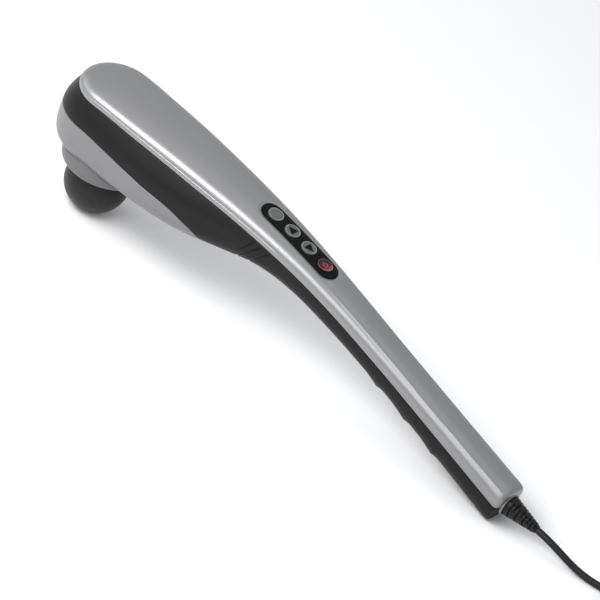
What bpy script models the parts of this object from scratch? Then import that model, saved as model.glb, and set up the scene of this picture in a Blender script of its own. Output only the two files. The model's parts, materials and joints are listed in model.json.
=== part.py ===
"""Handheld percussion wand massager with its mains lead, modelled in metres with +Z up.

The frame's origin is on the floor, under the middle of the massager. X runs from the massage head to
the tail. The massager rests on its massage ball and on the heel of its handle. Lengths along the body
are measured from the massage ball's upright axis, and at() turns them into frame positions.
"""
import math

import bmesh
import bpy
import numpy as np
from mathutils import Matrix, Vector

# Clearances
GAP = 0.0003            # between pieces that touch
SEAM_GAP = 0.0003       # along the parting lines of the shells

# Massage ball and the collar round it
BALL_RADIUS = 0.0219
BALL_CENTRE_Z = 0.0212  # a little under the radius, which leaves a flat pole to rest on
BALL_TOP_Z = 0.0348
COLLAR_RADIUS = 0.0295
COLLAR_FOOT_Z = 0.0332
COLLAR_MOUTH_RADIUS = 0.0202
COLLAR_WEB_Z = 0.0385
COLLAR_SCREW_CIRCLE = 0.0245

# Body. Each station holds its distance from the ball's axis, the height of the seam, the half-width at
# the seam, the crown over the seam, the greatest half-width, its depth under the seam, and the depth of
# the keel under the seam. Half-widths are shares of the body's width, and the distances in the handle
# are shares of its length.
BODY_WIDTH = 0.0660
HEAD_LENGTH = 0.0800    # from the ball's axis to where the handle starts
HANDLE_LENGTH = 0.2720
HEAD_STATIONS = (
    (-0.008, 0.0870, 0.409, 0.0097, 0.4955, 0.0170, 0.0455),
    (0.020, 0.0853, 0.400, 0.0104, 0.500, 0.0180, 0.0440),
    (0.050, 0.0832, 0.382, 0.0110, 0.488, 0.0178, 0.0420),
    (0.080, 0.0804, 0.3545, 0.0113, 0.441, 0.0142, 0.0386),
)
HANDLE_STATIONS = (
    (0.1103, 0.0774, 0.321, 0.0110, 0.3665, 0.0100, 0.0302),
    (0.2206, 0.0732, 0.288, 0.0106, 0.300, 0.0060, 0.0205),
    (0.3309, 0.0675, 0.256, 0.0103, 0.2605, 0.0032, 0.0168),
    (0.4412, 0.0602, 0.232, 0.0102, 0.2365, 0.0020, 0.0160),
    (0.5882, 0.0490, 0.215, 0.0104, 0.2195, 0.0020, 0.0153),
    (0.8088, 0.0313, 0.209, 0.0113, 0.218, 0.0020, 0.0160),
    (1.0, 0.0160, 0.209, 0.0123, 0.218, 0.0020, 0.0175),
)
TAIL_X = HEAD_LENGTH + HANDLE_LENGTH
WALL = 0.0022
CROWN_POWER = 2.8       # roundness of the section over the seam; 2 is an ellipse, more is squarer
HEAD_KEEL_POWER = 4.0
HANDLE_KEEL_POWER = 2.5
NECK_X = (0.060, 0.160)
TAIL_REACH = 0.0070     # how far the end face stands behind the last station
TAIL_PLAN_POWER = 5.0
TAIL_SIDE_POWER = 4.0
RIDGE_TO_TAIL = 0.0490   # from the last finger ridge's crest to the last station
RIDGE_PITCH = 0.0270
RIDGE_COUNT = 3
RIDGE_HEIGHT = 0.0019
RIDGE_RISE = 0.013
RIDGE_FALL = 0.006
COVER_LINE = ((-0.050, 0.0702), (-0.008, 0.0700), (0.014, 0.0674), (0.044, 0.0632), (0.079, 0.0574),
              (0.093, 0.0515), (0.101, 0.0445), (0.107, 0.0350))

# Control panel and its four buttons
PANEL_X = 0.150
PANEL_END = 0.0047      # panel left beyond the end buttons
PANEL_SIDE = 0.0024     # panel left beside the buttons
PANEL_PROUD = 0.0002
PANEL_CEILING = 0.0024
PANEL_FLANGE_TOP = 0.0043
PANEL_FLANGE = 0.0011
PANEL_FLANGE_LIP = 0.0020
PANEL_WALL = 0.0011
BUTTON_NAMES = ("mode_button", "speed_up_button", "speed_down_button", "power_button")
BUTTON_RADIUS = 0.0056
BUTTON_PITCH = 0.0156
BUTTON_PROUD = 0.0009
BUTTON_FLANGE = 0.0010
BUTTON_LIP = 0.0007
BUTTON_STEM = 0.0013
BUTTON_TRAVEL = 0.0008
SWITCH_SIZE = 0.0060
SWITCH_HEIGHT = 0.0025
SWITCH_PLUNGER = 0.0007
BOARD_THICKNESS = 0.0016
BUTTON_BOARD_WIDTH = 0.0200
PANEL_LENGTH = (len(BUTTON_NAMES) - 1) * BUTTON_PITCH + 2 * (BUTTON_RADIUS + PANEL_END)
PANEL_WIDTH = 2 * (BUTTON_RADIUS + PANEL_SIDE)

# Percussion drive
MOTOR_Z = 0.0673
MOTOR_RADIUS = 0.0180
MOTOR_FRONT_X = 0.020
MOTOR_LENGTH = 0.046
MOTOR_CASE = 0.0015
END_CAP_LENGTH = 0.0037
SHAFT_RADIUS = 0.0025
ARMATURE_AIR = 0.0020   # between the armature and the can
THROW = 0.0020
PIN_RADIUS = 0.0020
BEARING_RADIUS = 0.0050
BEARING_WIDTH = 0.0060
CRANK_RADIUS = 0.0090
CRANK_FRONT_X = 0.0050
CRANK_DISC = 0.0043
HUB_RADIUS = 0.0060
HUB_LENGTH = 0.0057
YOKE_DEPTH = 0.0080
YOKE_FRAME = 0.0030
ROD_RADIUS = 0.0050
SPIGOT_RADIUS = 0.0030
INSERT_RADIUS = 0.0060
INSERT_TOP_Z = 0.0330
INSERT_FOOT_Z = 0.0190
BUSH_RADIUS = 0.0090
BUSH_FOOT_Z = 0.0362
BUSH_TOP_Z = 0.0520
BUSH_FLANGE_RADIUS = 0.0130
BUSH_FLANGE_Z = 0.0448
BUSH_FLANGE = 0.0030
SLEEVE_THICKNESS = 0.0020
SLEEVE_WIDTH = 0.0080
SLEEVE_X = (0.028, 0.058)
CRADLE_X = (0.022, 0.064)
CRADLE_HALF_WIDTH = 0.0160
CRADLE_FOOT_Z = WALL + 0.0426       # just over the head cover's floor
CRADLE_STEP_Z = 0.0530
CRADLE_TOP_Z = 0.0600
CRADLE_SIDE = 0.0048    # between the cradle's wings and the shells
CRADLE_WING = BODY_WIDTH / 2 - WALL - CRADLE_SIDE
STRAP_WIDTH = 0.0090
STRAP_THICKNESS = 0.0010
STRAP_X = 0.043

# Screws
SCREW_RADIUS = 0.0013
SCREW_HEAD_RADIUS = 0.0026
SCREW_HEAD = 0.0016
SCREW_CLEARANCE = 0.0003
BODY_SCREW_X = (PANEL_X - 0.042, PANEL_X + 0.056, TAIL_X - 0.034)
POST_RADIUS = 0.0042
POST_TOP = -0.0060      # height over the seam where each housing post meets its shell boss
POST_FLOOR = 0.0040     # plastic left under each screw head, over the keel
COVER_SCREWS = ((0.034, 0.0130), (0.056, -0.0130))
PAD_RADIUS = 0.0042
PAD_TOP_Z = 0.0466

# Power board in the handle
BOARD_X = TAIL_X - 0.089
BOARD_LENGTH = 0.0880
BOARD_WIDTH = 0.0190
BOARD_DROP = 0.0070     # board's upper face under the seam
WIRE_RADIUS = 0.0008
CAPACITOR = (-0.0290, 0.0050, 0.0180)       # place along the board, radius, length
CHOKE = (-0.0110, 0.0065, 0.0026, 0.0060)   # place, outer radius, inner radius, height
TRANSISTOR = (0.0050, (0.0045, 0.0100, 0.0110))
FUSE = (0.0220, 0.0026, 0.0200)             # place, radius, length
RIBBON_Y = -0.0082
RIBBON_WIDTH = 0.0044
RIBBON_THICKNESS = 0.0005
LEAD_ROUTE = ((0.206, 0.0064, 0.0062), (0.185, 0.0062, 0.0090), (0.160, 0.0058, 0.0120),
              (0.135, 0.0058, 0.0150), (0.108, 0.0066, 0.0170), (0.090, 0.0060, 0.0170))

# Mains lead
RELIEF_SLOPE = math.radians(5.7)
RELIEF_BASE_RADIUS = 0.0072
RELIEF_TIP_RADIUS = 0.0032
RELIEF_LENGTH = 0.0260
RELIEF_RIBS = 8
RELIEF_NECK_RADIUS = 0.0050
RELIEF_SOCKET = 0.0010
RELIEF_FLANGE_RADIUS = 0.0068
RELIEF_FLANGE = (-0.0064, -0.0044)
CLAMP_AT = -0.0120      # along the relief's axis, from the end face
CLAMP_LENGTH = 0.0065
CLAMP_WIDTH = 0.0170
CLAMP_THICKNESS = 0.0024
CLAMP_SCREW_Y = 0.0058
SADDLE_HEIGHT = 0.0165
INNER_CORD_END = -0.0180
CORD_RADIUS = 0.0024
CORD_START = ((0.2130, 0.0000, 0.0114), (0.2190, 0.0000, 0.0108), (0.2270, 0.0002, 0.0093),
              (0.2350, 0.0006, 0.0072), (0.2430, 0.0012, 0.0050), (0.2515, 0.0020, 0.0034),
              (0.2600, 0.0032, 0.0026), (0.2690, 0.0050, 0.0025), (0.2780, 0.0074, 0.0025),
              (0.2870, 0.0101, 0.0025), (0.2960, 0.0127, 0.0025), (0.3050, 0.0148, 0.0025))
CORD_END = ((0.3330, 0.0161, 0.0219), (0.3420, 0.0158, 0.0195), (0.3510, 0.0154, 0.0152),
            (0.3580, 0.0152, 0.0108), (0.3660, 0.0150, 0.0077), (0.3750, 0.0150, 0.0071))
COIL_CENTRE = (0.3190, -0.0150)
COIL_RADII = (0.0313, 0.0264)
COIL_LIFT = 0.0049
COIL_LAYERS = 4
COIL_SOFT = 0.0018      # rounding of the coil's bundle
TIE_ANGLE = math.radians(-50)
TIE_WIDTH = 0.0110
TIE_THICKNESS = 0.0009
TIE_FOOT_Z = 0.0012
PLUG_TAIL = 0.0130
PLUG_LENGTH = 0.0300
PLUG_WIDTH = 0.0260
PLUG_THICKNESS = 0.0138
PLUG_PIN_RADIUS = 0.0020
PLUG_PIN_LENGTH = 0.0190
PLUG_PIN_PITCH = 0.0190

TABLE = np.array([(x, seam, half * BODY_WIDTH, crown, wide * BODY_WIDTH, drop, keel)
                  for x, seam, half, crown, wide, drop, keel in HEAD_STATIONS
                  + tuple((HEAD_LENGTH + share * HANDLE_LENGTH, *row) for share, *row in HANDLE_STATIONS)])
NOSE_X = TABLE[0, 0] - TABLE[0, 4]
RIDGE_X = [TAIL_X - RIDGE_TO_TAIL - RIDGE_PITCH * i for i in range(RIDGE_COUNT)][::-1]
COVER_PAD_TOP_Z = CRADLE_FOOT_Z - GAP


def hermite(x, knots, values, first_slope=None):
    """A smooth curve through the knots, with a level or natural start."""
    knots = np.asarray(knots, float)
    values = np.asarray(values, float)
    steps = np.diff(knots)
    slopes = np.diff(values) / steps
    tangent = np.empty(len(knots))
    tangent[1:-1] = (slopes[:-1] * steps[1:] + slopes[1:] * steps[:-1]) / (steps[:-1] + steps[1:])
    tangent[0] = slopes[0] if first_slope is None else first_slope
    tangent[-1] = slopes[-1]
    i = np.clip(np.searchsorted(knots, x) - 1, 0, len(knots) - 2)
    s = (x - knots[i]) / steps[i]
    return ((2 * s**3 - 3 * s**2 + 1) * values[i] + (s**3 - 2 * s**2 + s) * steps[i] * tangent[i]
            + (-2 * s**3 + 3 * s**2) * values[i + 1] + (s**3 - s**2) * steps[i] * tangent[i + 1])


def station(column, x):
    return float(hermite(min(max(x, TABLE[0, 0]), TABLE[-1, 0]), TABLE[:, 0], TABLE[:, column], 0.0))


def spine(x):
    """Point of the seam line over the axis, its direction to the tail and its upward normal."""
    step = 0.0005
    inside = min(max(x, TABLE[0, 0]), TABLE[-1, 0])
    slope = (station(1, inside + step) - station(1, inside - step)) / (
        min(inside + step, TABLE[-1, 0]) - max(inside - step, TABLE[0, 0]))
    if x < TABLE[0, 0]:
        slope = 0.0
    tangent = Vector((1.0, 0.0, slope)).normalized()
    normal = Vector((-tangent.z, 0.0, tangent.x))
    point = Vector((x, 0.0, station(1, inside) + slope * (x - inside)))
    return point, tangent, normal


RELIEF_ROOT = spine(TABLE[-1, 0])[0] + spine(TABLE[-1, 0])[1] * TAIL_REACH
RELIEF_TIP_X = RELIEF_ROOT.x + RELIEF_LENGTH * math.cos(RELIEF_SLOPE)
BALL_X = -(RELIEF_TIP_X + NOSE_X) / 2


def at(x, y=0.0, z=0.0):
    return Vector((BALL_X + x, y, z))


def ridge(x):
    """Height of the finger ridges under the grip."""
    height = 0.0
    for crest in RIDGE_X:
        offset = x - crest
        reach = RIDGE_FALL if offset > 0 else RIDGE_RISE
        if abs(offset) < reach:
            height += RIDGE_HEIGHT * (1 - abs(offset) / reach)**1.6
    return height


def section(x, inset, crown_rows, flare_rows, keel_rows):
    """Half section as (half-width, height over the seam), from the crown to the keel."""
    seam_half, crown, wide_half, wide_drop, keel = (station(c, x) for c in (2, 3, 4, 5, 6))
    keel += ridge(x) if inset == 0 else 0.0
    seam_half, wide_half = seam_half - inset, wide_half - inset
    crown, keel = crown - inset, keel - inset
    share = min(max((x - NECK_X[0]) / (NECK_X[1] - NECK_X[0]), 0.0), 1.0)
    power = HEAD_KEEL_POWER + (HANDLE_KEEL_POWER - HEAD_KEEL_POWER) * share
    rows = []
    for i in range(crown_rows + 1):
        turn = math.pi / 2 * i / crown_rows
        rows.append((seam_half * math.sin(turn)**(2 / CROWN_POWER),
                     crown * max(math.cos(turn), 0.0)**(2 / CROWN_POWER)))
    for i in range(1, flare_rows + 1):
        turn = math.pi / 2 * i / flare_rows
        rows.append((seam_half + (wide_half - seam_half) * math.sin(turn), -wide_drop * i / flare_rows))
    for i in range(1, keel_rows + 1):
        turn = math.pi / 2 * i / keel_rows
        rows.append((wide_half * max(math.cos(turn), 0.0)**(2 / power),
                     -wide_drop - (keel - wide_drop) * math.sin(turn)**(2 / power)))
    return rows


def body_mesh(name, inset):
    """Closed skin of the whole body, set in by the given depth all over."""
    rows = (5, 2, 5)
    spacing = 0.021
    nose_loops, tail_loops = 6, 5
    first, last = TABLE[0, 0], TABLE[-1, 0]
    loops = []
    for i in range(nose_loops):
        turn = math.pi / 2 * i / nose_loops
        point, _, normal = spine(first)
        loops.append([point + Vector((-half * math.cos(turn), half * math.sin(turn), 0)) + normal * rise
                      for half, rise in section(first, inset, *rows)])
    places = list(np.arange(first, RIDGE_X[0] - RIDGE_RISE, spacing))
    fine = RIDGE_RISE / 2 if inset == 0 else spacing
    places += list(np.arange(RIDGE_X[0] - RIDGE_RISE, RIDGE_X[-1] + RIDGE_FALL + fine, fine))
    places += list(np.linspace(RIDGE_X[-1] + RIDGE_FALL + 2 * fine, last, 4))
    for x in places:
        point, _, normal = spine(x)
        loops.append([point + Vector((0, half, 0)) + normal * rise
                      for half, rise in section(x, inset, *rows)])
    point, tangent, normal = spine(last)
    crown, keel = station(3, last) - inset, station(6, last) - inset
    for i in range(1, tail_loops + 1):
        turn = math.pi / 2 * i / tail_loops
        narrow = max(math.cos(turn), 0.0)**(2 / TAIL_PLAN_POWER)
        reach = (TAIL_REACH - inset) * math.sin(turn)**(2 / TAIL_PLAN_POWER)
        loop = []
        for half, rise in section(last, inset, *rows):
            height = min(rise / crown if rise > 0 else -rise / keel, 1.0)
            push = reach * (1 - height**TAIL_SIDE_POWER)**(1 / TAIL_SIDE_POWER)
            loop.append(point + tangent * push + Vector((0, half * narrow, 0)) + normal * rise)
        loops.append(loop)
    mesh = bmesh.new()
    for side in (1, -1):
        grid = [[mesh.verts.new(at(p.x, p.y * side, p.z)) for p in loop] for loop in loops]
        for a, b in zip(grid, grid[1:]):
            for j in range(len(a) - 1):
                face = (a[j], a[j + 1], b[j + 1], b[j])
                mesh.faces.new(face if side == 1 else face[::-1])
    bmesh.ops.remove_doubles(mesh, verts=mesh.verts, dist=1e-6)
    bmesh.ops.dissolve_degenerate(mesh, edges=mesh.edges, dist=1e-7)
    bmesh.ops.recalc_face_normals(mesh, faces=mesh.faces)
    return finish_mesh(name, mesh)


def finish_mesh(name, mesh):
    data = bpy.data.meshes.new(name)
    mesh.to_mesh(data)
    mesh.free()
    return data


def start_scene():
    for item in list(bpy.data.objects):
        bpy.data.objects.remove(item)
    for name in ("wand_massager", "cutters"):
        bpy.context.scene.collection.children.link(bpy.data.collections.new(name))


def material(name, colour, roughness, metallic=0.0):
    made = bpy.data.materials.get(name)
    if made is None:
        made = bpy.data.materials.new(name)
        made.use_nodes = True
        shader = made.node_tree.nodes["Principled BSDF"]
        shader.inputs["Base Color"].default_value = (*colour, 1.0)
        shader.inputs["Roughness"].default_value = roughness
        shader.inputs["Metallic"].default_value = metallic
    return made


FINISHES = {
    "silver_paint": ((0.33, 0.33, 0.33), 0.35, 0.6),
    "charcoal": ((0.030, 0.030, 0.031), 0.55, 0.0),
    "pale_grey": ((0.30, 0.30, 0.30), 0.45, 0.3),
    "mid_grey": ((0.24, 0.24, 0.24), 0.45, 0.2),
    "ball_rubber": ((0.035, 0.035, 0.036), 0.6, 0.0),
    "black_gloss": ((0.006, 0.006, 0.007), 0.12, 0.0),
    "button_grey": ((0.16, 0.18, 0.17), 0.4, 0.0),
    "button_red": ((0.12, 0.01, 0.02), 0.25, 0.0),
    "steel": ((0.55, 0.55, 0.56), 0.3, 1.0),
    "brass": ((0.70, 0.50, 0.22), 0.35, 1.0),
    "copper": ((0.72, 0.36, 0.20), 0.4, 1.0),
    "board_green": ((0.02, 0.16, 0.06), 0.5, 0.0),
    "black_plastic": ((0.012, 0.012, 0.013), 0.5, 0.0),
    "white_plastic": ((0.75, 0.75, 0.72), 0.4, 0.0),
    "wire_red": ((0.5, 0.02, 0.02), 0.4, 0.0),
    "wire_blue": ((0.02, 0.08, 0.4), 0.4, 0.0),
    "cord_black": ((0.010, 0.010, 0.011), 0.45, 0.0),
}


def make(name, data, finish=None):
    """Object from a mesh or curve: a part with its finish, or a cutter without one."""
    item = bpy.data.objects.new(name, data)
    if finish:
        bpy.data.collections["wand_massager"].objects.link(item)
        data.materials.append(material(finish, *FINISHES[finish]))
        if isinstance(data, bpy.types.Mesh):
            data.shade_smooth()
            data.set_sharp_from_angle(angle=math.radians(35))
    else:
        bpy.data.collections["cutters"].objects.link(item)
        item.hide_render = True
        item.display_type = "WIRE"
    return item


def aim(item, location, direction=(0, 0, 1), across=(0, 1, 0)):
    """Put an object at a place with its Z along a direction and its Y near another."""
    z_axis = Vector(direction).normalized()
    x_axis = Vector(across).cross(z_axis).normalized()
    y_axis = z_axis.cross(x_axis)
    turn = Matrix((x_axis, y_axis, z_axis)).transposed().to_4x4()
    item.matrix_world = Matrix.Translation(location) @ turn
    return item


def turned(name, profile, location, direction=(0, 0, 1), finish=None, steps=20, closed=False):
    """Solid or ring turned about Z; the profile runs down its outer side."""
    data = bpy.data.meshes.new(name)
    links = [(i, i + 1) for i in range(len(profile) - 1)]
    if closed:
        links.append((len(profile) - 1, 0))
    data.from_pydata([(radius, 0.0, height) for radius, height in profile], links, [])
    item = make(name, data, finish)
    across = (0, 1, 0) if abs(Vector(direction).normalized().y) < 0.9 else (1, 0, 0)
    half_step = Matrix.Rotation(math.pi / steps, 4, "Z")
    item.matrix_world = aim(item, location, direction, across).matrix_world @ half_step
    screw = item.modifiers.new("turn", "SCREW")
    screw.steps = screw.render_steps = steps
    screw.use_merge_vertices = True
    screw.merge_threshold = 1e-5
    screw.use_smooth_shade = True
    return item


def rod(name, radius, low, high, location, direction=(0, 0, 1), finish=None, steps=20):
    """Plain cylinder between two heights over its location."""
    profile = [(0.0, high), (radius, high), (radius, low), (0.0, low)]
    return turned(name, profile, location, direction, finish, steps)


def ring(name, inner, outer, low, high, location, direction=(0, 0, 1), finish=None, steps=20):
    profile = [(inner, high), (outer, high), (outer, low), (inner, low)]
    return turned(name, profile, location, direction, finish, steps, closed=True)


def block(name, size, location, direction=(0, 0, 1), across=(0, 1, 0), finish=None, round_by=0.0):
    """Box centred on its location, with rounded edges where asked."""
    mesh = bmesh.new()
    bmesh.ops.create_cube(mesh, size=1.0)
    bmesh.ops.scale(mesh, vec=size, verts=mesh.verts)
    item = make(name, finish_mesh(name, mesh), finish)
    aim(item, location, direction, across)
    if round_by:
        bevel = item.modifiers.new("edges", "BEVEL")
        bevel.width = round_by
        bevel.segments = 2
    return item


def prism(name, outline, low, high, frame, finish=None):
    """Outline in a frame's XY plane, filled between two heights."""
    mesh = bmesh.new()
    floor = mesh.faces.new([mesh.verts.new((x, y, low)) for x, y in outline])
    grown = bmesh.ops.extrude_face_region(mesh, geom=[floor])
    roof = [item for item in grown["geom"] if isinstance(item, bmesh.types.BMVert)]
    bmesh.ops.translate(mesh, verts=roof, vec=(0, 0, high - low))
    bmesh.ops.transform(mesh, matrix=frame, verts=mesh.verts)
    bmesh.ops.recalc_face_normals(mesh, faces=mesh.faces)
    return make(name, finish_mesh(name, mesh), finish)


def pill(length, width, turns=8):
    """Outline of a slot with round ends, centred on the origin."""
    points = []
    for end in (1, -1):
        for i in range(turns + 1):
            angle = -math.pi / 2 + math.pi * i / turns
            points.append((end * ((length - width) / 2 + width / 2 * math.cos(angle)),
                           end * width / 2 * math.sin(angle)))
    return points


def shape(item, tool, operation):
    change = item.modifiers.new(operation.lower(), "BOOLEAN")
    change.operation = operation
    change.solver = "EXACT"
    change.object = tool


def cut(item, *tools):
    for tool in tools:
        shape(item, tool, "DIFFERENCE")


def join(item, *tools):
    for tool in tools:
        shape(item, tool, "UNION")


def tube(name, points, radius, finish, resolution=2):
    data = bpy.data.curves.new(name, "CURVE")
    data.dimensions = "3D"
    data.bevel_depth = radius
    data.bevel_resolution = resolution
    data.use_fill_caps = True
    data.render_resolution_u = 0
    path = data.splines.new("POLY")
    path.points.add(len(points) - 1)
    for knot, point in zip(path.points, points):
        knot.co = (*point, 1.0)
    return make(name, data, finish)


def smooth_path(knots, spacing):
    """Evenly spaced points on the smooth curve through a route's own points."""
    knots = np.array(knots, float)
    run = np.concatenate([[0.0], np.cumsum(np.linalg.norm(np.diff(knots, axis=0), axis=1))])
    fine = np.linspace(0.0, run[-1], 40 * len(knots))
    dense = np.array([[hermite(s, run, knots[:, axis]) for axis in range(3)] for s in fine])
    length = np.concatenate([[0.0], np.cumsum(np.linalg.norm(np.diff(dense, axis=0), axis=1))])
    places = np.linspace(0.0, length[-1], max(int(round(length[-1] / spacing)), 2) + 1)
    return [tuple(np.interp(places, length, dense[:, axis])[i] for axis in range(3))
            for i in range(len(places))]


# Parting lines

def side_frame():
    """Frame whose X and Y run along the body and up, and whose Z runs across it."""
    return Matrix(((1, 0, 0, BALL_X), (0, 0, -1, 0), (0, 1, 0, 0), (0, 0, 0, 1)))


def shifted(line, distance):
    """The line moved sideways, up for a positive distance."""
    points = np.array(line)
    direction = np.gradient(points, axis=0)
    direction /= np.linalg.norm(direction, axis=1)[:, None]
    return [(x - v * distance, z + u * distance) for (x, z), (u, v) in zip(points, direction)]


def seam_line():
    places = np.concatenate([[-0.060], np.arange(TABLE[0, 0], TABLE[-1, 0], 0.018),
                             [TABLE[-1, 0], TABLE[-1, 0] + 0.030]])
    return [(x, spine(x)[0].z) for x in places]


def cover_line():
    knots = np.array(COVER_LINE)
    places = np.linspace(knots[0, 0], knots[-1, 0], 14)
    return [(x, float(hermite(x, knots[:, 0], knots[:, 1], 0.0))) for x in places]


def parting_tools():
    """Prisms that keep the top shell, the lower housing and the head cover."""
    half, roof, cellar = 0.060, 0.120, -0.030
    seam, cover = seam_line(), cover_line()
    frame = side_frame()
    above = shifted(seam, SEAM_GAP / 2) + [(seam[-1][0], roof), (seam[0][0], roof)]
    between = (shifted(seam, -SEAM_GAP / 2) + [(seam[-1][0], cellar), (cover[-1][0], cellar)]
               + shifted(cover, SEAM_GAP / 2)[::-1])
    below = shifted(cover, -SEAM_GAP / 2) + [(cover[-1][0], 0.010), (cover[0][0], 0.010)]
    return (prism("keep_top", above, -half, half, frame), prism("keep_housing", between, -half, half, frame),
            prism("keep_cover", below, -half, half, frame))


# Shells

def relief_axis():
    return Vector((math.cos(RELIEF_SLOPE), 0.0, -math.sin(RELIEF_SLOPE)))


def post_heights(x):
    """Heights over the seam of a housing post: screw head floor, post top."""
    return -station(6, x) + POST_FLOOR, POST_TOP


def body_shells():
    outer = body_mesh("body_skin", 0.0)
    hollow = make("body_hollow", body_mesh("body_hollow", WALL))
    keep_top, keep_housing, keep_cover = parting_tools()
    ground = block("ground", (0.8, 0.2, 0.02), (0, 0, -0.01))
    top = make("top_shell", outer.copy(), "silver_paint")
    housing = make("lower_housing", outer.copy(), "charcoal")
    cover = make("head_cover", outer.copy(), "pale_grey")
    for item, keep in ((top, keep_top), (housing, keep_housing), (cover, keep_cover)):
        shape(item, keep, "INTERSECT")
        cut(item, hollow)
    cut(housing, ground)
    relief_at = at(RELIEF_ROOT.x, 0, RELIEF_ROOT.z)
    socket = rod("relief_socket", RELIEF_BASE_RADIUS + 2 * GAP, -RELIEF_SOCKET, 0.02, relief_at,
                 relief_axis(), steps=32)
    passage = rod("relief_passage", RELIEF_NECK_RADIUS + GAP, -0.012, 0.02, relief_at, relief_axis())
    for x in BODY_SCREW_X:
        point, _, normal = spine(x)
        place = at(point.x, 0, point.z)
        floor, top_of_post = post_heights(x)
        keel = station(6, x)
        post = rod("housing_post", POST_RADIUS, -keel + WALL / 2, top_of_post - GAP / 2, place, normal,
                   steps=16)
        boss = rod("shell_boss", POST_RADIUS, top_of_post + GAP / 2, station(3, x) - WALL / 2, place, normal,
                   steps=16)
        join(housing, post)
        join(top, boss)
        cut(housing,
            rod("head_well", SCREW_HEAD_RADIUS + SCREW_CLEARANCE, -keel - 0.02, floor, place, normal),
            rod("screw_way", SCREW_RADIUS + SCREW_CLEARANCE, -keel, 0.0, place, normal, steps=12))
        cut(top, rod("screw_bore", SCREW_RADIUS + SCREW_CLEARANCE, -0.02, 0.0020, place, normal, steps=12))
    cut(top, socket, passage)
    cut(housing, socket, passage)
    shape_cover(cover)
    return top, housing


def collar_screw_places():
    return [(COLLAR_SCREW_CIRCLE * math.cos(math.radians(a)), COLLAR_SCREW_CIRCLE * math.sin(math.radians(a)))
            for a in (60, 180, 300)]


def keel_z(x):
    point, _, normal = spine(x)
    return (point - normal * station(6, x)).z


def pad_foot(x, y):
    """Height at which a pad on the cover's floor starts: just inside the skin under its outer edge."""
    first = TABLE[0, 0]
    lateral = math.hypot(min(x - first, 0.0), y) + PAD_RADIUS
    point, _, normal = spine(x)
    lower = [row for row in section(x, 0.0, 4, 3, 24) if row[1] < -station(5, x)][::-1]
    rise = float(np.interp(lateral, [half for half, _ in lower], [height for _, height in lower]))
    return (point + normal * rise).z + WALL * 0.15


def shape_cover(cover):
    for x, y in collar_screw_places():
        join(cover, rod("collar_pad", PAD_RADIUS, pad_foot(x, y), PAD_TOP_Z, at(x, y), steps=16))
        cut(cover, rod("collar_way", SCREW_RADIUS + SCREW_CLEARANCE, 0.030, 0.060, at(x, y), steps=12))
    for x, y in COVER_SCREWS:
        join(cover, rod("cover_pad", PAD_RADIUS, pad_foot(x, y), COVER_PAD_TOP_Z, at(x, y), steps=16))
        cut(cover, rod("cover_way", SCREW_RADIUS + SCREW_CLEARANCE, 0.030, 0.060, at(x, y), steps=12),
            rod("cover_well", SCREW_HEAD_RADIUS + SCREW_CLEARANCE, 0.030, keel_z(x) + WALL * 0.6, at(x, y),
                steps=16))
    cut(cover, rod("bush_hole", BUSH_RADIUS + GAP, 0.030, 0.060, at(0)))


def collar():
    foot, wide = COLLAR_FOOT_Z, COLLAR_RADIUS
    profile = [(BUSH_RADIUS + 2 * GAP, 0.0480), (wide - 0.0020, 0.0480), (wide - 0.0004, 0.0420),
               (wide, 0.0385), (wide - 0.0006, 0.0362), (wide - 0.0025, 0.0341), (wide - 0.0052, foot),
               (COLLAR_MOUTH_RADIUS, foot), (COLLAR_MOUTH_RADIUS, COLLAR_WEB_Z),
               (BUSH_RADIUS + 2 * GAP, COLLAR_WEB_Z)]
    item = turned("collar_ring", profile, at(0), finish="mid_grey", steps=28, closed=True)
    cut(item, make("belly", body_mesh("belly", -GAP)))
    for x, y in collar_screw_places():
        cut(item, rod("collar_bore", SCREW_RADIUS + SCREW_CLEARANCE, COLLAR_WEB_Z - 0.0010, 0.060, at(x, y),
                      steps=12))


# Percussion drive

def ride(item, axis):
    """Parent a moving piece to the empty on its joint's axis, where it already lies."""
    item.parent = axis
    item.matrix_parent_inverse = Matrix.Translation(axis.location).inverted()


def joint_axis(name, location):
    axis = bpy.data.objects.new(name, None)
    bpy.data.collections["wand_massager"].objects.link(axis)
    axis.location = location
    return axis


def ball(axis):
    """Rubber ball with a threaded insert in its bore."""
    top = BALL_TOP_Z - BALL_CENTRE_Z
    bore_floor = INSERT_FOOT_Z - BALL_CENTRE_Z - GAP
    start, end = math.asin(top / BALL_RADIUS), math.asin(-BALL_CENTRE_Z / BALL_RADIUS)
    profile = [(0.0, bore_floor), (INSERT_RADIUS + GAP, bore_floor), (INSERT_RADIUS + GAP, top)]
    for i in range(11):
        angle = start + (end - start) * i / 10
        profile.append((BALL_RADIUS * math.cos(angle), BALL_RADIUS * math.sin(angle)))
    profile.append((0.0, -BALL_CENTRE_Z))
    ride(turned("massage_ball", profile, at(0, 0, BALL_CENTRE_Z), finish="ball_rubber", steps=26), axis)
    ride(ring("ball_insert", SPIGOT_RADIUS + GAP, INSERT_RADIUS, INSERT_FOOT_Z, INSERT_TOP_Z, at(0),
              finish="brass", steps=20), axis)


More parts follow.
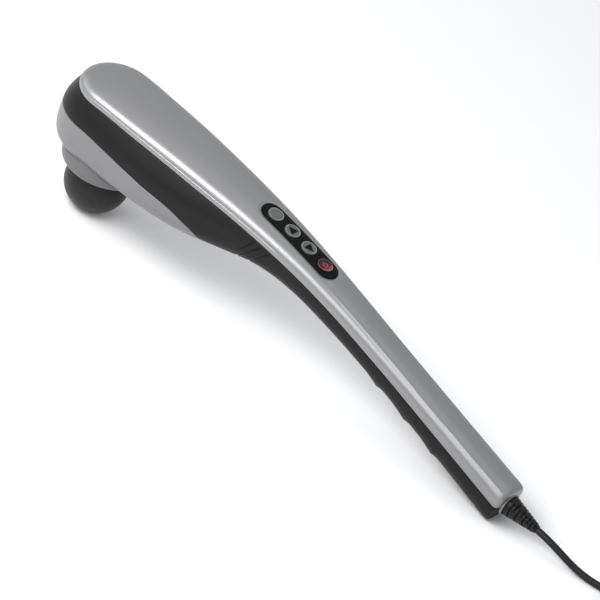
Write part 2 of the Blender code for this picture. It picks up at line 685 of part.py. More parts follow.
def plunger(axis):
    """Scotch yoke on a guided rod with a threaded spigot, and the bush that guides it."""
    across, up = THROW + BEARING_RADIUS + GAP, 2 * THROW + BEARING_RADIUS + GAP
    middle = MOTOR_Z + THROW
    foot = -(up + YOKE_FRAME)
    shoulder, tip = INSERT_TOP_Z + GAP - middle, INSERT_FOOT_Z + GAP - middle
    item = block("plunger", (YOKE_DEPTH, 2 * (across + YOKE_FRAME), 2 * (up + YOKE_FRAME)), at(0, 0, middle),
                 finish="steel")
    stem = turned("plunger_stem", [(0.0, foot + YOKE_FRAME / 2), (ROD_RADIUS, foot + YOKE_FRAME / 2),
                                   (ROD_RADIUS, shoulder), (SPIGOT_RADIUS, shoulder), (SPIGOT_RADIUS, tip),
                                   (0.0, tip)], at(0, 0, middle))
    join(item, stem)
    cut(item, block("yoke_window", (2 * YOKE_DEPTH, 2 * across, 2 * up), at(0, 0, middle)))
    ride(item, axis)
    bore, flange_top = ROD_RADIUS + GAP, BUSH_FLANGE_Z + BUSH_FLANGE
    profile = [(bore, BUSH_TOP_Z), (BUSH_RADIUS, BUSH_TOP_Z), (BUSH_RADIUS, flange_top),
               (BUSH_FLANGE_RADIUS, flange_top), (BUSH_FLANGE_RADIUS, BUSH_FLANGE_Z),
               (BUSH_RADIUS, BUSH_FLANGE_Z), (BUSH_RADIUS, BUSH_FOOT_Z), (bore, BUSH_FOOT_Z)]
    turned("plunger_bush", profile, at(0), finish="brass", closed=True)


def motor(axis):
    """Motor along X with its shaft towards the ball, and the crank that drives the yoke."""
    centre, tailward = at(0, 0, MOTOR_Z), (1, 0, 0)
    back = MOTOR_FRONT_X + MOTOR_LENGTH
    bore, inside = SHAFT_RADIUS + GAP, MOTOR_RADIUS - MOTOR_CASE
    nose, floor = MOTOR_FRONT_X - 0.0028, MOTOR_FRONT_X + 0.0020
    case = [(inside, back), (MOTOR_RADIUS, back), (MOTOR_RADIUS, MOTOR_FRONT_X + 0.0010),
            (MOTOR_RADIUS - 0.0010, MOTOR_FRONT_X), (HUB_RADIUS, MOTOR_FRONT_X), (HUB_RADIUS, nose),
            (bore, nose), (bore, floor), (inside, floor)]
    turned("motor_can", case, centre, tailward, "steel", 22, closed=True)
    ring("motor_end_cap", bore, MOTOR_RADIUS, back + GAP, back + END_CAP_LENGTH, centre, tailward,
         "black_plastic", 22)
    armature = ring("motor_armature", bore, inside - ARMATURE_AIR, MOTOR_FRONT_X + 0.006, back - 0.006,
                    centre, tailward, "copper", 16)
    disc_back = CRANK_FRONT_X + CRANK_DISC
    seat, hub_end = disc_back + GAP, disc_back + HUB_LENGTH
    shaft = rod("motor_shaft", SHAFT_RADIUS, seat + GAP, back + END_CAP_LENGTH + 0.0015, centre, tailward,
                "steel", 16)
    profile = [(0.0, seat), (bore, seat), (bore, hub_end), (HUB_RADIUS, hub_end), (HUB_RADIUS, disc_back),
               (CRANK_RADIUS, disc_back), (CRANK_RADIUS, CRANK_FRONT_X), (0.0, CRANK_FRONT_X)]
    disc = turned("crank_disc", profile, centre, tailward, "steel")
    pin_centre = centre + Vector((0, 0, THROW))
    join(disc, rod("crank_pin", PIN_RADIUS, -YOKE_DEPTH / 2, CRANK_FRONT_X + CRANK_DISC / 2, pin_centre,
                   tailward, steps=16))
    bearing = ring("crank_bearing", PIN_RADIUS + GAP, BEARING_RADIUS, -BEARING_WIDTH / 2, BEARING_WIDTH / 2,
                   pin_centre, tailward, "steel", 20)
    for item in (armature, shaft, disc, bearing):
        ride(item, axis)


def screw(name, location, direction, shank):
    """Pan-head screw whose head's underside is at its location and whose shank runs along the direction."""
    profile = [(0.0, shank), (SCREW_RADIUS, shank), (SCREW_RADIUS, 0.0), (SCREW_HEAD_RADIUS, 0.0),
               (SCREW_HEAD_RADIUS, -0.6 * SCREW_HEAD), (0.6 * SCREW_HEAD_RADIUS, -SCREW_HEAD),
               (0.0, -SCREW_HEAD)]
    turned(name, profile, location, direction, "steel", 8)


def motor_mounting():
    """Rubber sleeves on the motor, the saddle under it and the strap over it."""
    centre, tailward = at(0, 0, MOTOR_Z), (1, 0, 0)
    sleeve_outer = MOTOR_RADIUS + GAP + SLEEVE_THICKNESS
    seat = sleeve_outer + GAP
    for name, x in zip(("motor_sleeve_front", "motor_sleeve_rear"), SLEEVE_X):
        ring(name, MOTOR_RADIUS + GAP, sleeve_outer, x - SLEEVE_WIDTH / 2, x + SLEEVE_WIDTH / 2, centre,
             tailward, "ball_rubber", 22)
    length, middle_x = CRADLE_X[1] - CRADLE_X[0], (CRADLE_X[0] + CRADLE_X[1]) / 2
    low = block("motor_cradle", (length, 2 * CRADLE_HALF_WIDTH, CRADLE_STEP_Z + 0.001 - CRADLE_FOOT_Z),
                at(middle_x, 0, (CRADLE_STEP_Z + 0.001 + CRADLE_FOOT_Z) / 2), finish="black_plastic")
    wings = block("cradle_wings", (length, 2 * CRADLE_WING, CRADLE_TOP_Z - CRADLE_STEP_Z),
                  at(middle_x, 0, (CRADLE_TOP_Z + CRADLE_STEP_Z) / 2))
    join(low, wings)
    cut(low, rod("cradle_seat", seat, 0.0, 0.10, centre, tailward, steps=22))
    for x, y in COVER_SCREWS:
        cut(low, rod("cradle_bore", SCREW_RADIUS + SCREW_CLEARANCE, CRADLE_FOOT_Z - 0.002,
                     CRADLE_FOOT_Z + 0.0045, at(x, y), steps=12))
    foot = CRADLE_TOP_Z + GAP - MOTOR_Z
    outer = seat + STRAP_THICKNESS
    arc = [math.pi * i / 14 for i in range(15)]
    outline = ([(CRADLE_WING, foot), (CRADLE_WING, foot + STRAP_THICKNESS), (outer, foot + STRAP_THICKNESS)]
               + [(outer * math.cos(a), outer * math.sin(a)) for a in arc]
               + [(-outer, foot + STRAP_THICKNESS), (-CRADLE_WING, foot + STRAP_THICKNESS),
                  (-CRADLE_WING, foot), (-seat, foot)]
               + [(seat * math.cos(a), seat * math.sin(a)) for a in arc[::-1]] + [(seat, foot)])
    turn = Matrix(((0, 0, 1, 0), (1, 0, 0, 0), (0, 1, 0, 0), (0, 0, 0, 1)))
    across_frame = Matrix.Translation(centre) @ turn
    prism("motor_strap", outline, STRAP_X - STRAP_WIDTH / 2, STRAP_X + STRAP_WIDTH / 2, across_frame, "steel")


def shell_screws():
    for number, x in enumerate(BODY_SCREW_X, 1):
        point, _, normal = spine(x)
        floor = point + normal * (post_heights(x)[0] - GAP)
        depth = POST_TOP - post_heights(x)[0] + 0.0060
        screw(f"body_screw_{number}", at(floor.x, 0, floor.z), normal, depth)
    for number, (x, y) in enumerate(COVER_SCREWS, 1):
        head = keel_z(x) + WALL * 0.6 - GAP
        screw(f"cover_screw_{number}", at(x, y, head), (0, 0, 1), CRADLE_FOOT_Z + 0.0040 - head)
    for number, (x, y) in enumerate(collar_screw_places(), 1):
        head = PAD_TOP_Z + GAP
        screw(f"collar_screw_{number}", at(x, y, head), (0, 0, -1), head - COLLAR_WEB_Z)


# Control panel

def crown(x):
    point, _, normal = spine(x)
    return point + normal * station(3, x)


def panel_frame():
    """Frame on the crown at the panel's middle, with X to the tail and Z out of the panel."""
    middle = crown(PANEL_X)
    tailward = (crown(PANEL_X + PANEL_LENGTH / 3) - crown(PANEL_X - PANEL_LENGTH / 3)).normalized()
    up = tailward.cross(Vector((0, 1, 0)))
    turn = Matrix((tailward, Vector((0, 1, 0)), up)).transposed().to_4x4()
    return Matrix.Translation(at(middle.x, 0, middle.z)) @ turn


def crown_height(frame, along):
    """Height of the crown over the panel frame at a distance along it."""
    local = [frame.inverted() @ at(crown(x).x, 0, crown(x).z)
             for x in np.linspace(PANEL_X - PANEL_LENGTH, PANEL_X + PANEL_LENGTH / 2, 31)]
    return float(np.interp(along, [p.x for p in local], [p.z for p in local]))


def panel_place(frame, along, across, up):
    return frame @ Vector((along, across, up))


def button_heights():
    """Under the panel frame: button flange foot, stem foot, switch top, board's upper face."""
    flange_foot = PANEL_CEILING + GAP + BUTTON_FLANGE
    stem_foot = flange_foot + BUTTON_STEM
    switch_top = stem_foot + BUTTON_TRAVEL + GAP
    board_top = switch_top + SWITCH_PLUNGER + SWITCH_HEIGHT + GAP
    return flange_foot, stem_foot, switch_top, board_top


def control_panel(top_shell):
    frame = panel_frame()
    up = frame.to_3x3() @ Vector((0, 0, 1))
    flange_foot = PANEL_FLANGE_TOP + PANEL_FLANGE
    cut(top_shell, prism("panel_opening", pill(PANEL_LENGTH + 2 * GAP, PANEL_WIDTH + 2 * GAP),
                         -PANEL_FLANGE_TOP, 0.01, frame),
        prism("flange_room", pill(PANEL_LENGTH + 2 * (PANEL_FLANGE_LIP + GAP),
                                  PANEL_WIDTH + 2 * (PANEL_FLANGE_LIP + GAP)),
              -flange_foot - 0.002, -PANEL_FLANGE_TOP + GAP, frame))
    panel = make("control_panel", body_mesh("control_panel", -PANEL_PROUD), "black_gloss")
    shape(panel, prism("panel_outline", pill(PANEL_LENGTH, PANEL_WIDTH), -flange_foot, 0.01, frame),
          "INTERSECT")
    flange_outline = pill(PANEL_LENGTH + 2 * PANEL_FLANGE_LIP, PANEL_WIDTH + 2 * PANEL_FLANGE_LIP)
    join(panel, prism("panel_flange", flange_outline, -flange_foot, -PANEL_FLANGE_TOP, frame))
    cut(panel, prism("panel_pocket", pill(PANEL_LENGTH - 2 * PANEL_WALL, PANEL_WIDTH - 2 * PANEL_WALL),
                     -flange_foot - 0.001, -PANEL_CEILING, frame))
    flange, stem, switch_top, board_top = button_heights()
    board_middle = board_top + BOARD_THICKNESS / 2
    block("button_board", (PANEL_LENGTH - 0.0020, BUTTON_BOARD_WIDTH, BOARD_THICKNESS),
          panel_place(frame, 0, 0, -board_middle), up, finish="board_green")
    for i, name in enumerate(BUTTON_NAMES):
        along = (i - 1.5) * BUTTON_PITCH
        face = crown_height(frame, along) + BUTTON_PROUD
        place = panel_place(frame, along, 0, 0)
        radius = BUTTON_RADIUS
        finish = "button_red" if name == "power_button" else "button_grey"
        profile = [(0.0, face), (0.62 * radius, face - 0.0001), (radius - 0.0005, face - 0.0004),
                   (radius, face - 0.0009), (radius, -PANEL_CEILING - GAP),
                   (radius + BUTTON_LIP, -PANEL_CEILING - GAP), (radius + BUTTON_LIP, -flange),
                   (0.0020, -flange), (0.0020, -stem), (0.0, -stem)]
        turned(name, profile, place, up, finish, 16)
        cut(panel, rod("button_bore", radius + GAP, -0.01, 0.01, place, up, steps=24))
        switch = block(f"{name}_switch", (SWITCH_SIZE, SWITCH_SIZE, SWITCH_HEIGHT),
                       panel_place(frame, along, 0, -switch_top - SWITCH_PLUNGER - SWITCH_HEIGHT / 2), up,
                       finish="black_plastic")
        join(switch, rod("switch_plunger", 0.0016, -switch_top - SWITCH_PLUNGER - 0.0005, -switch_top,
                         place, up, steps=12))
    return frame, board_middle


# Electrics in the handle

def handle_frame(x):
    point, tangent, normal = spine(x)
    turn = Matrix((tangent, Vector((0, 1, 0)), normal)).transposed().to_4x4()
    return Matrix.Translation(at(point.x, 0, point.z)) @ turn


def power_board():
    frame = handle_frame(BOARD_X)
    up = frame.to_3x3() @ Vector((0, 0, 1))
    along_handle = frame.to_3x3() @ Vector((1, 0, 0))
    face = -BOARD_DROP + GAP
    block("power_board", (BOARD_LENGTH, BOARD_WIDTH, BOARD_THICKNESS),
          frame @ Vector((0, 0, -BOARD_DROP - BOARD_THICKNESS / 2)), up, finish="board_green")
    place, radius, length = CAPACITOR
    rod("capacitor", radius, -length / 2, length / 2, frame @ Vector((place, 0, face + radius)), along_handle,
        "black_plastic", 16)
    place, outer, inner, height = CHOKE
    ring("choke_coil", inner, outer, 0.0, height, frame @ Vector((place, 0, face)), up, "copper", 16)
    place, size = TRANSISTOR
    block("drive_transistor", size, frame @ Vector((place, 0, face + size[2] / 2)), up,
          finish="black_plastic")
    place, radius, length = FUSE
    rod("fuse", radius, -length / 2, length / 2, frame @ Vector((place, 0, face + radius)), along_handle,
        "white_plastic", 12)


def wires(frame, board_middle):
    """Motor leads from the power board, and the button board's ribbon."""
    handle = handle_frame(BOARD_X)
    front = -BOARD_LENGTH / 2
    end_cap = MOTOR_FRONT_X + MOTOR_LENGTH + END_CAP_LENGTH
    terminal_y, terminal_z = 0.0058, MOTOR_Z - 0.0050
    for name, finish, side in (("motor_lead_red", "wire_red", 0.0), ("motor_lead_blue", "wire_blue", 0.0022)):
        knots = [handle @ Vector((front + 0.0030, 0.0060 + side, -BOARD_DROP + GAP + WIRE_RADIUS)),
                 handle @ Vector((front - 0.0060, 0.0062 + side, -BOARD_DROP + 0.0010))]
        for x, y, drop in LEAD_ROUTE:
            point = spine(x)[0]
            knots.append(at(point.x, y + side, point.z - drop))
        knots += [at(end_cap + 0.0080, terminal_y + side, terminal_z),
                  at(end_cap + GAP, terminal_y + side, terminal_z)]
        tube(name, smooth_path(knots, 0.0160), WIRE_RADIUS, finish)
    ribbon(frame, board_middle, handle)


def ribbon(frame, board_middle, handle):
    """Flat ribbon from the button board to the power board, beside the middle post."""
    knots = [frame @ Vector((PANEL_LENGTH / 2 - 0.0010 + GAP, RIBBON_Y, -board_middle)),
             frame @ Vector((PANEL_LENGTH / 2 + 0.0060, RIBBON_Y, -board_middle - 0.0005))]
    for x, drop in ((0.196, 0.0050), (0.206, 0.0056)):
        point = spine(x)[0]
        knots.append(at(point.x, RIBBON_Y, point.z - drop))
    knots.append(handle @ Vector((-BOARD_LENGTH / 2 - GAP, RIBBON_Y, -BOARD_DROP - BOARD_THICKNESS / 2)))
    path = smooth_path(knots, 0.0060)
    mesh = bmesh.new()
    rails = [[mesh.verts.new((x, y + shift, z)) for x, y, z in path]
             for shift in (-RIBBON_WIDTH / 2, RIBBON_WIDTH / 2)]
    for i in range(len(path) - 1):
        mesh.faces.new((rails[0][i], rails[0][i + 1], rails[1][i + 1], rails[1][i]))
    item = make("panel_ribbon", finish_mesh("panel_ribbon", mesh), "white_plastic")
    solid = item.modifiers.new("thickness", "SOLIDIFY")
    solid.thickness = RIBBON_THICKNESS
    solid.offset = 0.0


# Mains lead

def relief_place(along, across=0.0, up=0.0):
    axis = relief_axis()
    lift = Vector((-axis.z, 0.0, axis.x))
    return at(RELIEF_ROOT.x, 0, RELIEF_ROOT.z) + axis * along + Vector((0, across, 0)) + lift * up


def strain_relief(housing):
    """Tapered, ribbed sleeve with a neck and an inner flange that the shells hold."""
    base = -RELIEF_SOCKET + GAP
    profile = [(0.0, RELIEF_LENGTH)]
    pitch = (RELIEF_LENGTH - 0.0040) / RELIEF_RIBS
    for rib in range(RELIEF_RIBS, 0, -1):
        share = rib / RELIEF_RIBS
        radius = RELIEF_BASE_RADIUS + (RELIEF_TIP_RADIUS - RELIEF_BASE_RADIUS) * share
        height = 0.0040 + pitch * rib
        if rib == RELIEF_RIBS:
            profile.append((radius, height))
        profile += [(radius + 0.0002, height - 0.62 * pitch), (radius - 0.0006, height - 0.66 * pitch),
                    (radius - 0.0006, height - pitch)]
    profile += [(RELIEF_BASE_RADIUS, 0.0038), (RELIEF_BASE_RADIUS, base), (RELIEF_NECK_RADIUS, base),
                (RELIEF_NECK_RADIUS, RELIEF_FLANGE[1]), (RELIEF_FLANGE_RADIUS, RELIEF_FLANGE[1]),
                (RELIEF_FLANGE_RADIUS, RELIEF_FLANGE[0]), (0.0, RELIEF_FLANGE[0])]
    turned("strain_relief", profile, relief_place(0), relief_axis(), "cord_black", 12)
    tube("inner_cord", [relief_place(RELIEF_FLANGE[0] - GAP), relief_place(INNER_CORD_END)], CORD_RADIUS,
         "cord_black", 3)
    seat = CORD_RADIUS + GAP
    across = (0, 1, 0)
    lift = relief_place(0, 0, 1) - relief_place(0)
    bar = block("cord_clamp", (CLAMP_LENGTH, CLAMP_WIDTH, CLAMP_THICKNESS),
                relief_place(CLAMP_AT, 0, seat + CLAMP_THICKNESS / 2), lift, across, "black_plastic")
    saddle = block("clamp_saddle", (CLAMP_LENGTH, CLAMP_WIDTH, SADDLE_HEIGHT),
                   relief_place(CLAMP_AT, 0, seat - GAP - SADDLE_HEIGHT / 2), lift, across)
    join(housing, saddle)
    cut(housing, rod("cord_seat", seat, CLAMP_AT - CLAMP_LENGTH, CLAMP_AT + CLAMP_LENGTH, relief_place(0),
                     relief_axis(), steps=16))
    for number, y in enumerate((CLAMP_SCREW_Y, -CLAMP_SCREW_Y), 1):
        hole = rod("clamp_bore", SCREW_RADIUS + SCREW_CLEARANCE, -0.0045, 0.02, relief_place(CLAMP_AT, y),
                   lift, steps=12)
        cut(bar, hole)
        cut(housing, hole)
        screw(f"clamp_screw_{number}", relief_place(CLAMP_AT, y, seat + CLAMP_THICKNESS + GAP), -lift, 0.0070)
    handle = handle_frame(BOARD_X)
    for name, finish, side in (("live_core", "wire_red", 1), ("neutral_core", "wire_blue", -1)):
        post = spine(BODY_SCREW_X[-1])[0]
        knots = [relief_place(INNER_CORD_END - GAP, side * 0.0011),
                 relief_place(INNER_CORD_END - 0.0050, side * 0.0030),
                 at(post.x + 0.0040, side * 0.0064, post.z + 0.0015),
                 at(post.x - 0.0030, side * 0.0066, post.z + 0.0010),
                 handle @ Vector((BOARD_LENGTH / 2 - 0.0030, side * 0.0045, -BOARD_DROP + WIRE_RADIUS + GAP))]
        tube(name, smooth_path(knots, 0.0045), WIRE_RADIUS, finish)


def outside_coil(points):
    reach = COIL_RADII[0] + 2 * CORD_RADIUS + 2 * GAP
    return [p for p in points if math.hypot(p[0] - COIL_CENTRE[0], p[1] - COIL_CENTRE[1]) > reach]


def mains_lead():
    """Lead laid on the floor: a free stretch, a tied coil, and a generic two-pin plug."""
    floor_z = CORD_START[-1][2]
    tangent_y = COIL_CENTRE[1] + COIL_RADII[0]
    top_z = floor_z + COIL_LIFT * COIL_LAYERS
    start = list(CORD_START) + [(COIL_CENTRE[0], tangent_y, floor_z)]
    end = [(COIL_CENTRE[0], tangent_y, top_z)] + list(CORD_END)
    tube("cord_lead", outside_coil(smooth_path(start, 0.0100)), CORD_RADIUS, "cord_black", 3)
    tube("cord_end", outside_coil(smooth_path(end, 0.0080)), CORD_RADIUS, "cord_black", 3)
    inner, outer = COIL_RADII[-1] - CORD_RADIUS, COIL_RADII[0] + CORD_RADIUS
    low, high = floor_z - CORD_RADIUS, top_z + CORD_RADIUS
    profile = [(inner, high - COIL_SOFT), (inner + COIL_SOFT, high), (outer - COIL_SOFT, high),
               (outer, high - COIL_SOFT), (outer, low + COIL_SOFT), (outer - COIL_SOFT, low),
               (inner + COIL_SOFT, low), (inner, low + COIL_SOFT)]
    place = Vector((*COIL_CENTRE, 0.0))
    turned("cord_coil", profile, place, finish="cord_black", steps=24, closed=True)
    coil_tie(inner, outer, high)
    plug()


def coil_tie(inner, outer, high):
    """Strap bent over the coil's bundle, like a staple, on its far side."""
    out = Vector((math.cos(TIE_ANGLE), math.sin(TIE_ANGLE), 0.0))
    middle = Vector((*COIL_CENTRE, 0.0)) + out * (inner + outer) / 2
    frame = Matrix((out, Vector((0, 0, 1)), out.cross(Vector((0, 0, 1))))).transposed().to_4x4()
    frame = Matrix.Translation(middle) @ frame
    sag = inner - math.sqrt(inner**2 - (TIE_WIDTH / 2)**2)
    half, roof = (outer - inner) / 2 + 2 * GAP + sag, high + GAP
    outside = half + TIE_THICKNESS
    crest = roof + TIE_THICKNESS
    arch = [(-outside, TIE_FOOT_Z), (-outside, roof), (-half, crest), (half, crest), (outside, roof),
            (outside, TIE_FOOT_Z), (half, TIE_FOOT_Z), (half, roof), (-half, roof), (-half, TIE_FOOT_Z)]
    prism("cord_tie", arch, -TIE_WIDTH / 2, TIE_WIDTH / 2, frame, "black_plastic")


def plug():
    x, y, z = CORD_END[-1]
    base = Vector((x + GAP, y, z))
    ahead = (1, 0, 0)
    body_middle = base + Vector((PLUG_TAIL + PLUG_LENGTH / 2, 0, 0))
    body = block("plug_body", (PLUG_LENGTH, PLUG_WIDTH, PLUG_THICKNESS), body_middle, finish="cord_black",
                 round_by=0.0030)
    tail = turned("plug_tail", [(0.0, PLUG_TAIL + 0.005), (0.0055, PLUG_TAIL + 0.005), (0.0055, PLUG_TAIL),
                                (0.0034, 0.0), (0.0, 0.0)], base, ahead, steps=16)
    join(body, tail)
    face = base + Vector((PLUG_TAIL + PLUG_LENGTH + GAP, 0, 0))
    for name, side in (("plug_pin_left", 1), ("plug_pin_right", -1)):
        rod(name, PLUG_PIN_RADIUS, 0.0, PLUG_PIN_LENGTH, face + Vector((0, side * PLUG_PIN_PITCH / 2, 0)),
            ahead, "brass", 14)


def build():
    start_scene()
    top_shell, housing = body_shells()
    collar()
    plunger_axis = joint_axis("plunger_axis", at(0, 0, MOTOR_Z + THROW))
    rotor_axis = joint_axis("rotor_axis", at(0, 0, MOTOR_Z))
    ball(plunger_axis)
    plunger(plunger_axis)
    motor(rotor_axis)
    motor_mounting()
    shell_screws()
    frame, board_middle = control_panel(top_shell)
    power_board()
    wires(frame, board_middle)
    strain_relief(housing)
    mains_lead()


build()
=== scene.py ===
"""Looks of the handheld percussion wand massager: fine shells, controls, rubber, lead and finishes.

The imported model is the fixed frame. The three body shells, the collar, the ball, the buttons, the panel,
the strain relief and the mains lead are rebuilt finely round it, from the same driving sizes in metres.
"""
import json
from math import asin, copysign, cos, exp, hypot, pi, radians, sin

import bmesh
import bpy
import numpy as np
from mathutils import Matrix, Vector


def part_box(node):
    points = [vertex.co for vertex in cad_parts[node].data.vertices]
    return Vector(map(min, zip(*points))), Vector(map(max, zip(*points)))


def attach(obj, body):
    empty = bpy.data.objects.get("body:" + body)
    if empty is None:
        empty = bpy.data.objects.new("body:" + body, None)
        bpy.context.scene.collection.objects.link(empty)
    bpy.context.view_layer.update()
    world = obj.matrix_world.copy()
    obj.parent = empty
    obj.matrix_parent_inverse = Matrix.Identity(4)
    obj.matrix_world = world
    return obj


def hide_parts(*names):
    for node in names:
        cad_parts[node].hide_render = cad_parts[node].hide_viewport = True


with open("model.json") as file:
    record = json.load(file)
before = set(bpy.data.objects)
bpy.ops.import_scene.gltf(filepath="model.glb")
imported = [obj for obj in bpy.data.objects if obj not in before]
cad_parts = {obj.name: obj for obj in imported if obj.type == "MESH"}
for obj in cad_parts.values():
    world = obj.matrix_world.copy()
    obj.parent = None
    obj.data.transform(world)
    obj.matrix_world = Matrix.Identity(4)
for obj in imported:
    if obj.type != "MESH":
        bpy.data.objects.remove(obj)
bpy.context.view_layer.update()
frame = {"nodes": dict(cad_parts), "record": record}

# Places from the frame
BALL_LOW, BALL_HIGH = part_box("massage_ball")
BALL_X = (BALL_LOW[0] + BALL_HIGH[0]) / 2

# Body: station rows as in the CAD model
BODY_WIDTH = 0.066
HEAD_LENGTH = 0.08
HANDLE_LENGTH = 0.272
HEAD_STATIONS = (
    (-0.008, 0.0870, 0.409, 0.0097, 0.4955, 0.0170, 0.0455),
    (0.020, 0.0853, 0.400, 0.0104, 0.500, 0.0180, 0.0440),
    (0.050, 0.0832, 0.382, 0.0110, 0.488, 0.0178, 0.0420),
    (0.080, 0.0804, 0.3545, 0.0113, 0.441, 0.0142, 0.0386),
)
HANDLE_STATIONS = (
    (0.1103, 0.0774, 0.321, 0.0110, 0.3665, 0.0100, 0.0302),
    (0.2206, 0.0732, 0.288, 0.0106, 0.300, 0.0060, 0.0205),
    (0.3309, 0.0675, 0.256, 0.0103, 0.2605, 0.0032, 0.0168),
    (0.4412, 0.0602, 0.232, 0.0102, 0.2365, 0.0020, 0.0160),
    (0.5882, 0.0490, 0.215, 0.0104, 0.2195, 0.0020, 0.0153),
    (0.8088, 0.0313, 0.209, 0.0113, 0.218, 0.0020, 0.0160),
    (1.0, 0.0160, 0.209, 0.0123, 0.218, 0.0020, 0.0175),
)
TABLE = np.array([(x, seam, half * BODY_WIDTH, crown, wide * BODY_WIDTH, drop, keel)
                  for x, seam, half, crown, wide, drop, keel in HEAD_STATIONS
                  + tuple((HEAD_LENGTH + share * HANDLE_LENGTH, *row) for share, *row in HANDLE_STATIONS)])
FIRST_X, TAIL_X = TABLE[0, 0], TABLE[-1, 0]
WALL = 0.0022
SEAM_GAP = 0.0003
CROWN_POWER = 2.8
HEAD_KEEL_POWER = 4.0
HANDLE_KEEL_POWER = 2.5
NECK_X = (0.06, 0.16)
TAIL_REACH = 0.007
TAIL_PLAN_POWER = 5.0
TAIL_SIDE_POWER = 4.0
RIDGE_X = (0.249, 0.276, 0.303)
RIDGE_HEIGHT = 0.0019
RIDGE_RISE = 0.013
RIDGE_FALL = 0.006
COVER_TIP_STEP = 0.0007     # spacing of the sections up to the cover's point
COVER_LINE = np.array(((-0.050, 0.0702), (-0.008, 0.0700), (0.014, 0.0674), (0.044, 0.0632),
                       (0.079, 0.0574), (0.093, 0.0515), (0.101, 0.0445), (0.107, 0.0350)))

# Surface details of the shells
LIP_RADIUS = 0.0004
STEP_AT = 0.003             # height of the fine groove over the top shell's edge
STEP_WIDTH = 0.00032
STEP_DEPTH = 0.00035
STEP_END_X = (0.14, 0.155)  # where the groove dies out towards the handle
CREASE_HEIGHT = 0.0003
CREASE_WIDTH = 0.0009
CREASE = np.array(((0.150, 0.88), (0.240, 0.86), (0.290, 0.83), (0.352, 0.84)))
DISH_WIDTH = 0.0026
DISH_DEPTH = 0.0007
GROOVE_DEPTH = 0.0007
GROOVE_WIDTH = 0.0005
GROOVES = np.array((((0.1322, 0.0000), (0.1295, -0.0071), (0.1252, -0.0148), (0.1215, -0.0225)),
                    ((0.1384, 0.0000), (0.1345, -0.0068), (0.1285, -0.0160), (0.1220, -0.0260)),
                    ((0.1452, 0.0000), (0.1416, -0.0058), (0.1365, -0.0150), (0.1304, -0.0232))))
SMOOTH_ANGLE = radians(40)

# Spacing of the shells' sections along the body
HEAD_SPACING = 0.003
TAIL_SPACING = 0.001
TAIL_STRETCH = 0.006

# Control panel
PANEL_X = 0.15
PANEL_LENGTH = 0.0674
PANEL_WIDTH = 0.016
PANEL_GAP = 0.0003
PANEL_PROUD = 0.0002
PANEL_SKIRT = 0.0024
PANEL_ROUNDING = 0.0009
BUTTONS = ("mode_button", "speed_up_button", "speed_down_button", "power_button")
BUTTON_RADIUS = 0.0056
BUTTON_PITCH = 0.0156
BUTTON_PROUD = 0.0009
BUTTON_DISH = 0.00028
BUTTON_EDGE = 0.0005
MARK_THICKNESS = 0.00008

# Head, collar and ball
BALL_RADIUS = 0.0219
BALL_CENTRE_Z = 0.0212
BALL_TOP = 0.0136           # heights from the ball's centre
BALL_BORE = 0.0064
BALL_BORE_FLOOR = -0.0025
MOULD_LINE = 0.0001
BUSH_HOLE_RADIUS = 0.0093
COLLAR_RADIUS = 0.0295
COLLAR_FOOT_Z = 0.0332

# Mains lead: the route's own points, as in the CAD model
RELIEF_SLOPE = radians(5.7)
RELIEF_BASE_RADIUS = 0.0072
RELIEF_TIP_RADIUS = 0.0032
RELIEF_LENGTH = 0.026
RELIEF_RIBS = 8
RELIEF_PLAIN = 0.004        # length of its plain root
RIB_SHARE = 0.52
RIB_DEPTH = 0.0013
CORD_RADIUS = 0.0024
CORD_START = ((0.2130, 0.0000, 0.0114), (0.2190, 0.0000, 0.0108), (0.2270, 0.0002, 0.0093),
              (0.2350, 0.0006, 0.0072), (0.2430, 0.0012, 0.0050), (0.2515, 0.0020, 0.0034),
              (0.2600, 0.0032, 0.0026), (0.2690, 0.0050, 0.0025), (0.2780, 0.0074, 0.0025),
              (0.2870, 0.0101, 0.0025), (0.2960, 0.0127, 0.0025), (0.3050, 0.0148, 0.0025))
CORD_END = ((0.3330, 0.0161, 0.0219), (0.3420, 0.0158, 0.0195), (0.3510, 0.0154, 0.0152),
            (0.3580, 0.0152, 0.0108), (0.3660, 0.0150, 0.0077), (0.3750, 0.0150, 0.0071))
COIL_CENTRE = (0.3190, -0.0150)
COIL_RADII = (0.0313, 0.0264)
COIL_LIFT = 0.0049
COIL_LAYERS = 4
PLUG_TAIL = 0.0130
PLUG_LENGTH = 0.0300
PLUG_WIDTH = 0.0260
PLUG_THICKNESS = 0.0138
PLUG_PIN_PITCH = 0.0190
PLUG_PIN_RADIUS = 0.0020
PLUG_PIN_LENGTH = 0.0190
TIE_ANGLE = radians(-50)
TIE_WIDTH = 0.0110

# Screw wells
WELL_RADIUS = 0.0029
WELL_SINK = 0.0012          # how far inside the skin a screw post starts
SCREW_HEAD_ROOM = 0.0022    # from a screw's low end to its seat
POST_WALL = 0.0012
PILOT_RADIUS = 0.0017

# Camera at the photograph's angle, with a long lens
CAMERA_AIM = Vector((-0.0315, 0.0532, -0.0009))
CAMERA_BACK = Vector((0.3683, -0.7380, 0.5666))
CAMERA_UP = Vector((-0.5638, 0.3070, 0.7668))
CAMERA_LENS = 1600.0
CAMERA_DISTANCE = 17.150


# Curves of the body

